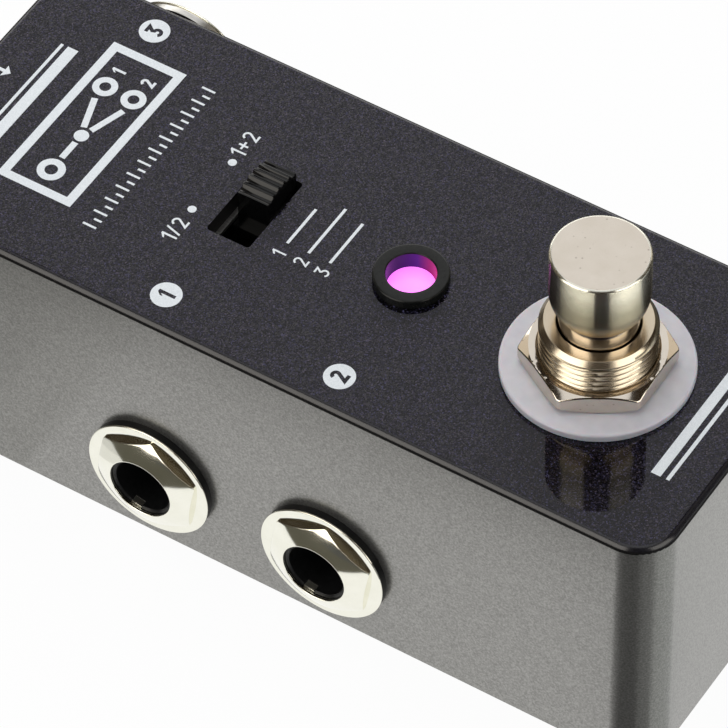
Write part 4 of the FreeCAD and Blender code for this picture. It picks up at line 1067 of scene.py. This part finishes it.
def makeFloor():
    look = {"radius": 4.0, "drop": 0.03, "matt": (0.85, 0.85, 0.85, 1), "seen": (1, 1, 1, 1), "share": 0.96}
    material = bpy.data.materials.new("paleFloor")
    tree = emptyTree(material)
    matt = addNode(tree, "ShaderNodeBsdfDiffuse", {"Color": look["matt"]})
    white = addNode(tree, "ShaderNodeEmission", {"Color": look["seen"], "Strength": 1.0})
    mixed = addNode(tree, "ShaderNodeMixShader", {"Fac": seenDirectly(tree) * look["share"],
                                                  1: matt.outputs[0], 2: white.outputs[0]})
    addNode(tree, "ShaderNodeOutputMaterial", {"Surface": mixed.outputs[0]})
    mesh = bmesh.new()
    bmesh.ops.create_circle(mesh, cap_ends=True, segments=96, radius=look["radius"])
    data = bpy.data.meshes.new("floor")
    mesh.to_mesh(data)
    mesh.free()
    data.materials.append(material)
    data.transform(Matrix.Translation((0, 0, -look["drop"] * mm)))
    floor = addObject("floor", data)


def makeCard(name, points, faces, colour):
    # a card that only mirrors see
    material = bpy.data.materials.new(name)
    tree = emptyTree(material)
    tone = addNode(tree, "ShaderNodeEmission", {"Color": (*colour, 1), "Strength": 1.0})
    addNode(tree, "ShaderNodeOutputMaterial", {"Surface": tone.outputs[0]})
    data = bpy.data.meshes.new(name)
    data.from_pydata(points, [], faces)
    data.materials.append(material)
    card = addObject(name, data)
    card.visible_camera = False
    card.visible_diffuse = False
    card.visible_shadow = False
    card.visible_transmission = False


def domePatch(turns, rises, radius=1.2, turnStep=6, riseStep=8):
    # a card bent round the object between two azimuths and two elevations
    across = max(2, int((turns[1] - turns[0]) / turnStep))
    up = max(2, int((rises[1] - rises[0]) / riseStep))
    points = []
    for row in range(up + 1):
        rise = math.radians(rises[0] + (rises[1] - rises[0]) * row / up)
        for column in range(across + 1):
            turn = math.radians(turns[0] + (turns[1] - turns[0]) * column / across)
            flat = radius * math.cos(rise)
            points.append((flat * math.sin(turn), -flat * math.cos(turn), radius * math.sin(rise)))
    faces = []
    for row in range(up):
        for column in range(across):
            first = row * (across + 1) + column
            faces.append((first, first + 1, first + across + 2, first + across + 1))
    return points, faces


def cornerFan(normals, reach=300.0):
    # a card on the floor where the rounded corner mirrors it, between two azimuths of the corner's surface
    steps = 10
    radius = cornerRadius
    low = -0.01 * mm
    middle = (shellHigh.x / mm - radius, shellLow.y / mm + radius)
    points = []
    for step in range(steps + 1):
        facing = normals[0] + (normals[1] - normals[0]) * step / steps
        lean = math.radians(facing)
        onward = math.radians(2 * facing - cameraTurn)
        x = middle[0] + radius * math.sin(lean)
        y = middle[1] - radius * math.cos(lean)
        points.append((x * mm, y * mm, low))
        points.append(((x + reach * math.sin(onward)) * mm, (y - reach * math.cos(onward)) * mm, low))
    return points, [(2 * step, 2 * step + 1, 2 * step + 3, 2 * step + 2) for step in range(steps)]


def levelSheet(corners, height):
    # a flat card through these (x, y) corners at a height
    return [(x * mm, y * mm, height * mm) for x, y in corners], [tuple(range(len(corners)))]


def makeCards():
    # dark surroundings; soft boxes either side of the camera and behind; two bright ledges just under the
    # panel's level, with a dark sheet below them, and dim patches, all of which the footswitch mirrors; and
    # the floor as the walls mirror it, darker past the corner, towards the left end and further off
    under = -0.02
    ledge = panelHeight / mm - 0.4
    far = 1200
    near = (-18.8, -44)
    patch = 1.25
    cards = {
        "surround": (domePatch((-130, 175), (-2, 62), 1.3), (0.030, 0.021, 0.013)),
        "boxLeft": (domePatch((-46, 8), (2, 54)), (3.0, 2.85, 2.6)),
        "boxRight": (domePatch((62, 112), (6, 50)), (2.6, 2.5, 2.3)),
        "boxBehind": (domePatch((-175, -112), (10, 34)), (2.2, 2.17, 2.1)),
        "ledgeLeft": (levelSheet([(6, -21.8), (37.3, -21.8), (42.2, -36), (-12.8, -36)], ledge),
                      (2.6, 2.5, 2.1)),
        "ledgeRight": (levelSheet([(49, -18.2), (62, -29.5), (62, 17), (49, 8.5)], ledge), (2.6, 2.5, 2.15)),
        "ledgeUnder": (levelSheet(bar((-14, 62), (-21.8, -37)), ledge - 0.1), (0.06, 0.042, 0.022)),
        "cheekLeft": (domePatch((-114, -90), (12, 36), patch), (0.85, 0.76, 0.62)),
        "cheekRight": (domePatch((154, 175), (12, 36), patch), (0.85, 0.76, 0.62)),
        "browLeft": (domePatch((-90, -60), (34, 50), patch), (0.50, 0.44, 0.35)),
        "browRight": (domePatch((131, 154), (34, 50), patch), (0.34, 0.30, 0.24)),
        "cornerShade": (cornerFan((6, 37)), (0.08, 0.08, 0.077)),
        "cornerHalf": (cornerFan((37, 55)), (0.25, 0.255, 0.25)),
        "cornerPale": (cornerFan((55, 89)), (0.66, 0.68, 0.67)),
        "farFloor": (levelSheet(bar((-far, far), (-44, -far)), under), (0.10, 0.095, 0.075)),
        "backFloor": (levelSheet([(-far, far), (far, far), (far, 12), (68, 12), (68, 50), (-far, 50)], under),
                      (0.10, 0.095, 0.08)),
        "fadeNear": (levelSheet(bar((-37, -29), near), under), (0.80, 0.80, 0.79)),
        "fadeMiddle": (levelSheet(bar((-46, -37), near), under), (0.66, 0.66, 0.65)),
        "fadeFar": (levelSheet(bar((-63, -46), near), under), (0.54, 0.54, 0.53)),
        "leftFloor": (levelSheet(bar((-far, -63), (50, -44)), under), (0.12, 0.11, 0.09)),
    }
    for name, ((points, faces), colour) in cards.items():
        makeCard(name, points, faces, colour)


def makeLamps():
    # three soft lamps that mirrors don't show
    lamps = {
        "overhead": {"at": (-0.22, 0.16, 0.62), "size": 0.5, "power": 2.0, "colour": (1, 0.98, 0.96)},
        "front": {"at": (-0.50, -0.55, 0.42), "size": 0.5, "power": 1.6, "colour": (1, 1, 1)},
        "side": {"at": (0.65, 0.25, 0.35), "size": 0.4, "power": 1.2, "colour": (0.97, 0.98, 1)},
    }
    for name, look in lamps.items():
        data = bpy.data.lights.new(name, "AREA")
        data.size = look["size"]
        data.energy = look["power"]
        data.color = look["colour"]
        lamp = addObject(name, data)
        lamp.visible_glossy = False
        lamp.location = look["at"]
        lamp.rotation_mode = "QUATERNION"
        lamp.rotation_quaternion = Vector(look["at"]).to_track_quat("Z", "Y")


makeShell()
print("shell made")
makeCap()
makeFootNut()
makeWasher()
makeBushing()
print("footswitch made")
makeBezel()
makeKnob()
makeJacks()
print("jacks made")
makeDiscs()
makeLegends()
makeScale()
makeStripes()
makeDiagram()
print("marks printed")
makeBaseScrews()
print("screws made")
makeCamera()
makeWorld()
makeFloor()
makeCards()
makeLamps()
bpy.context.scene.view_settings.view_transform = "Standard"
print("stage set")
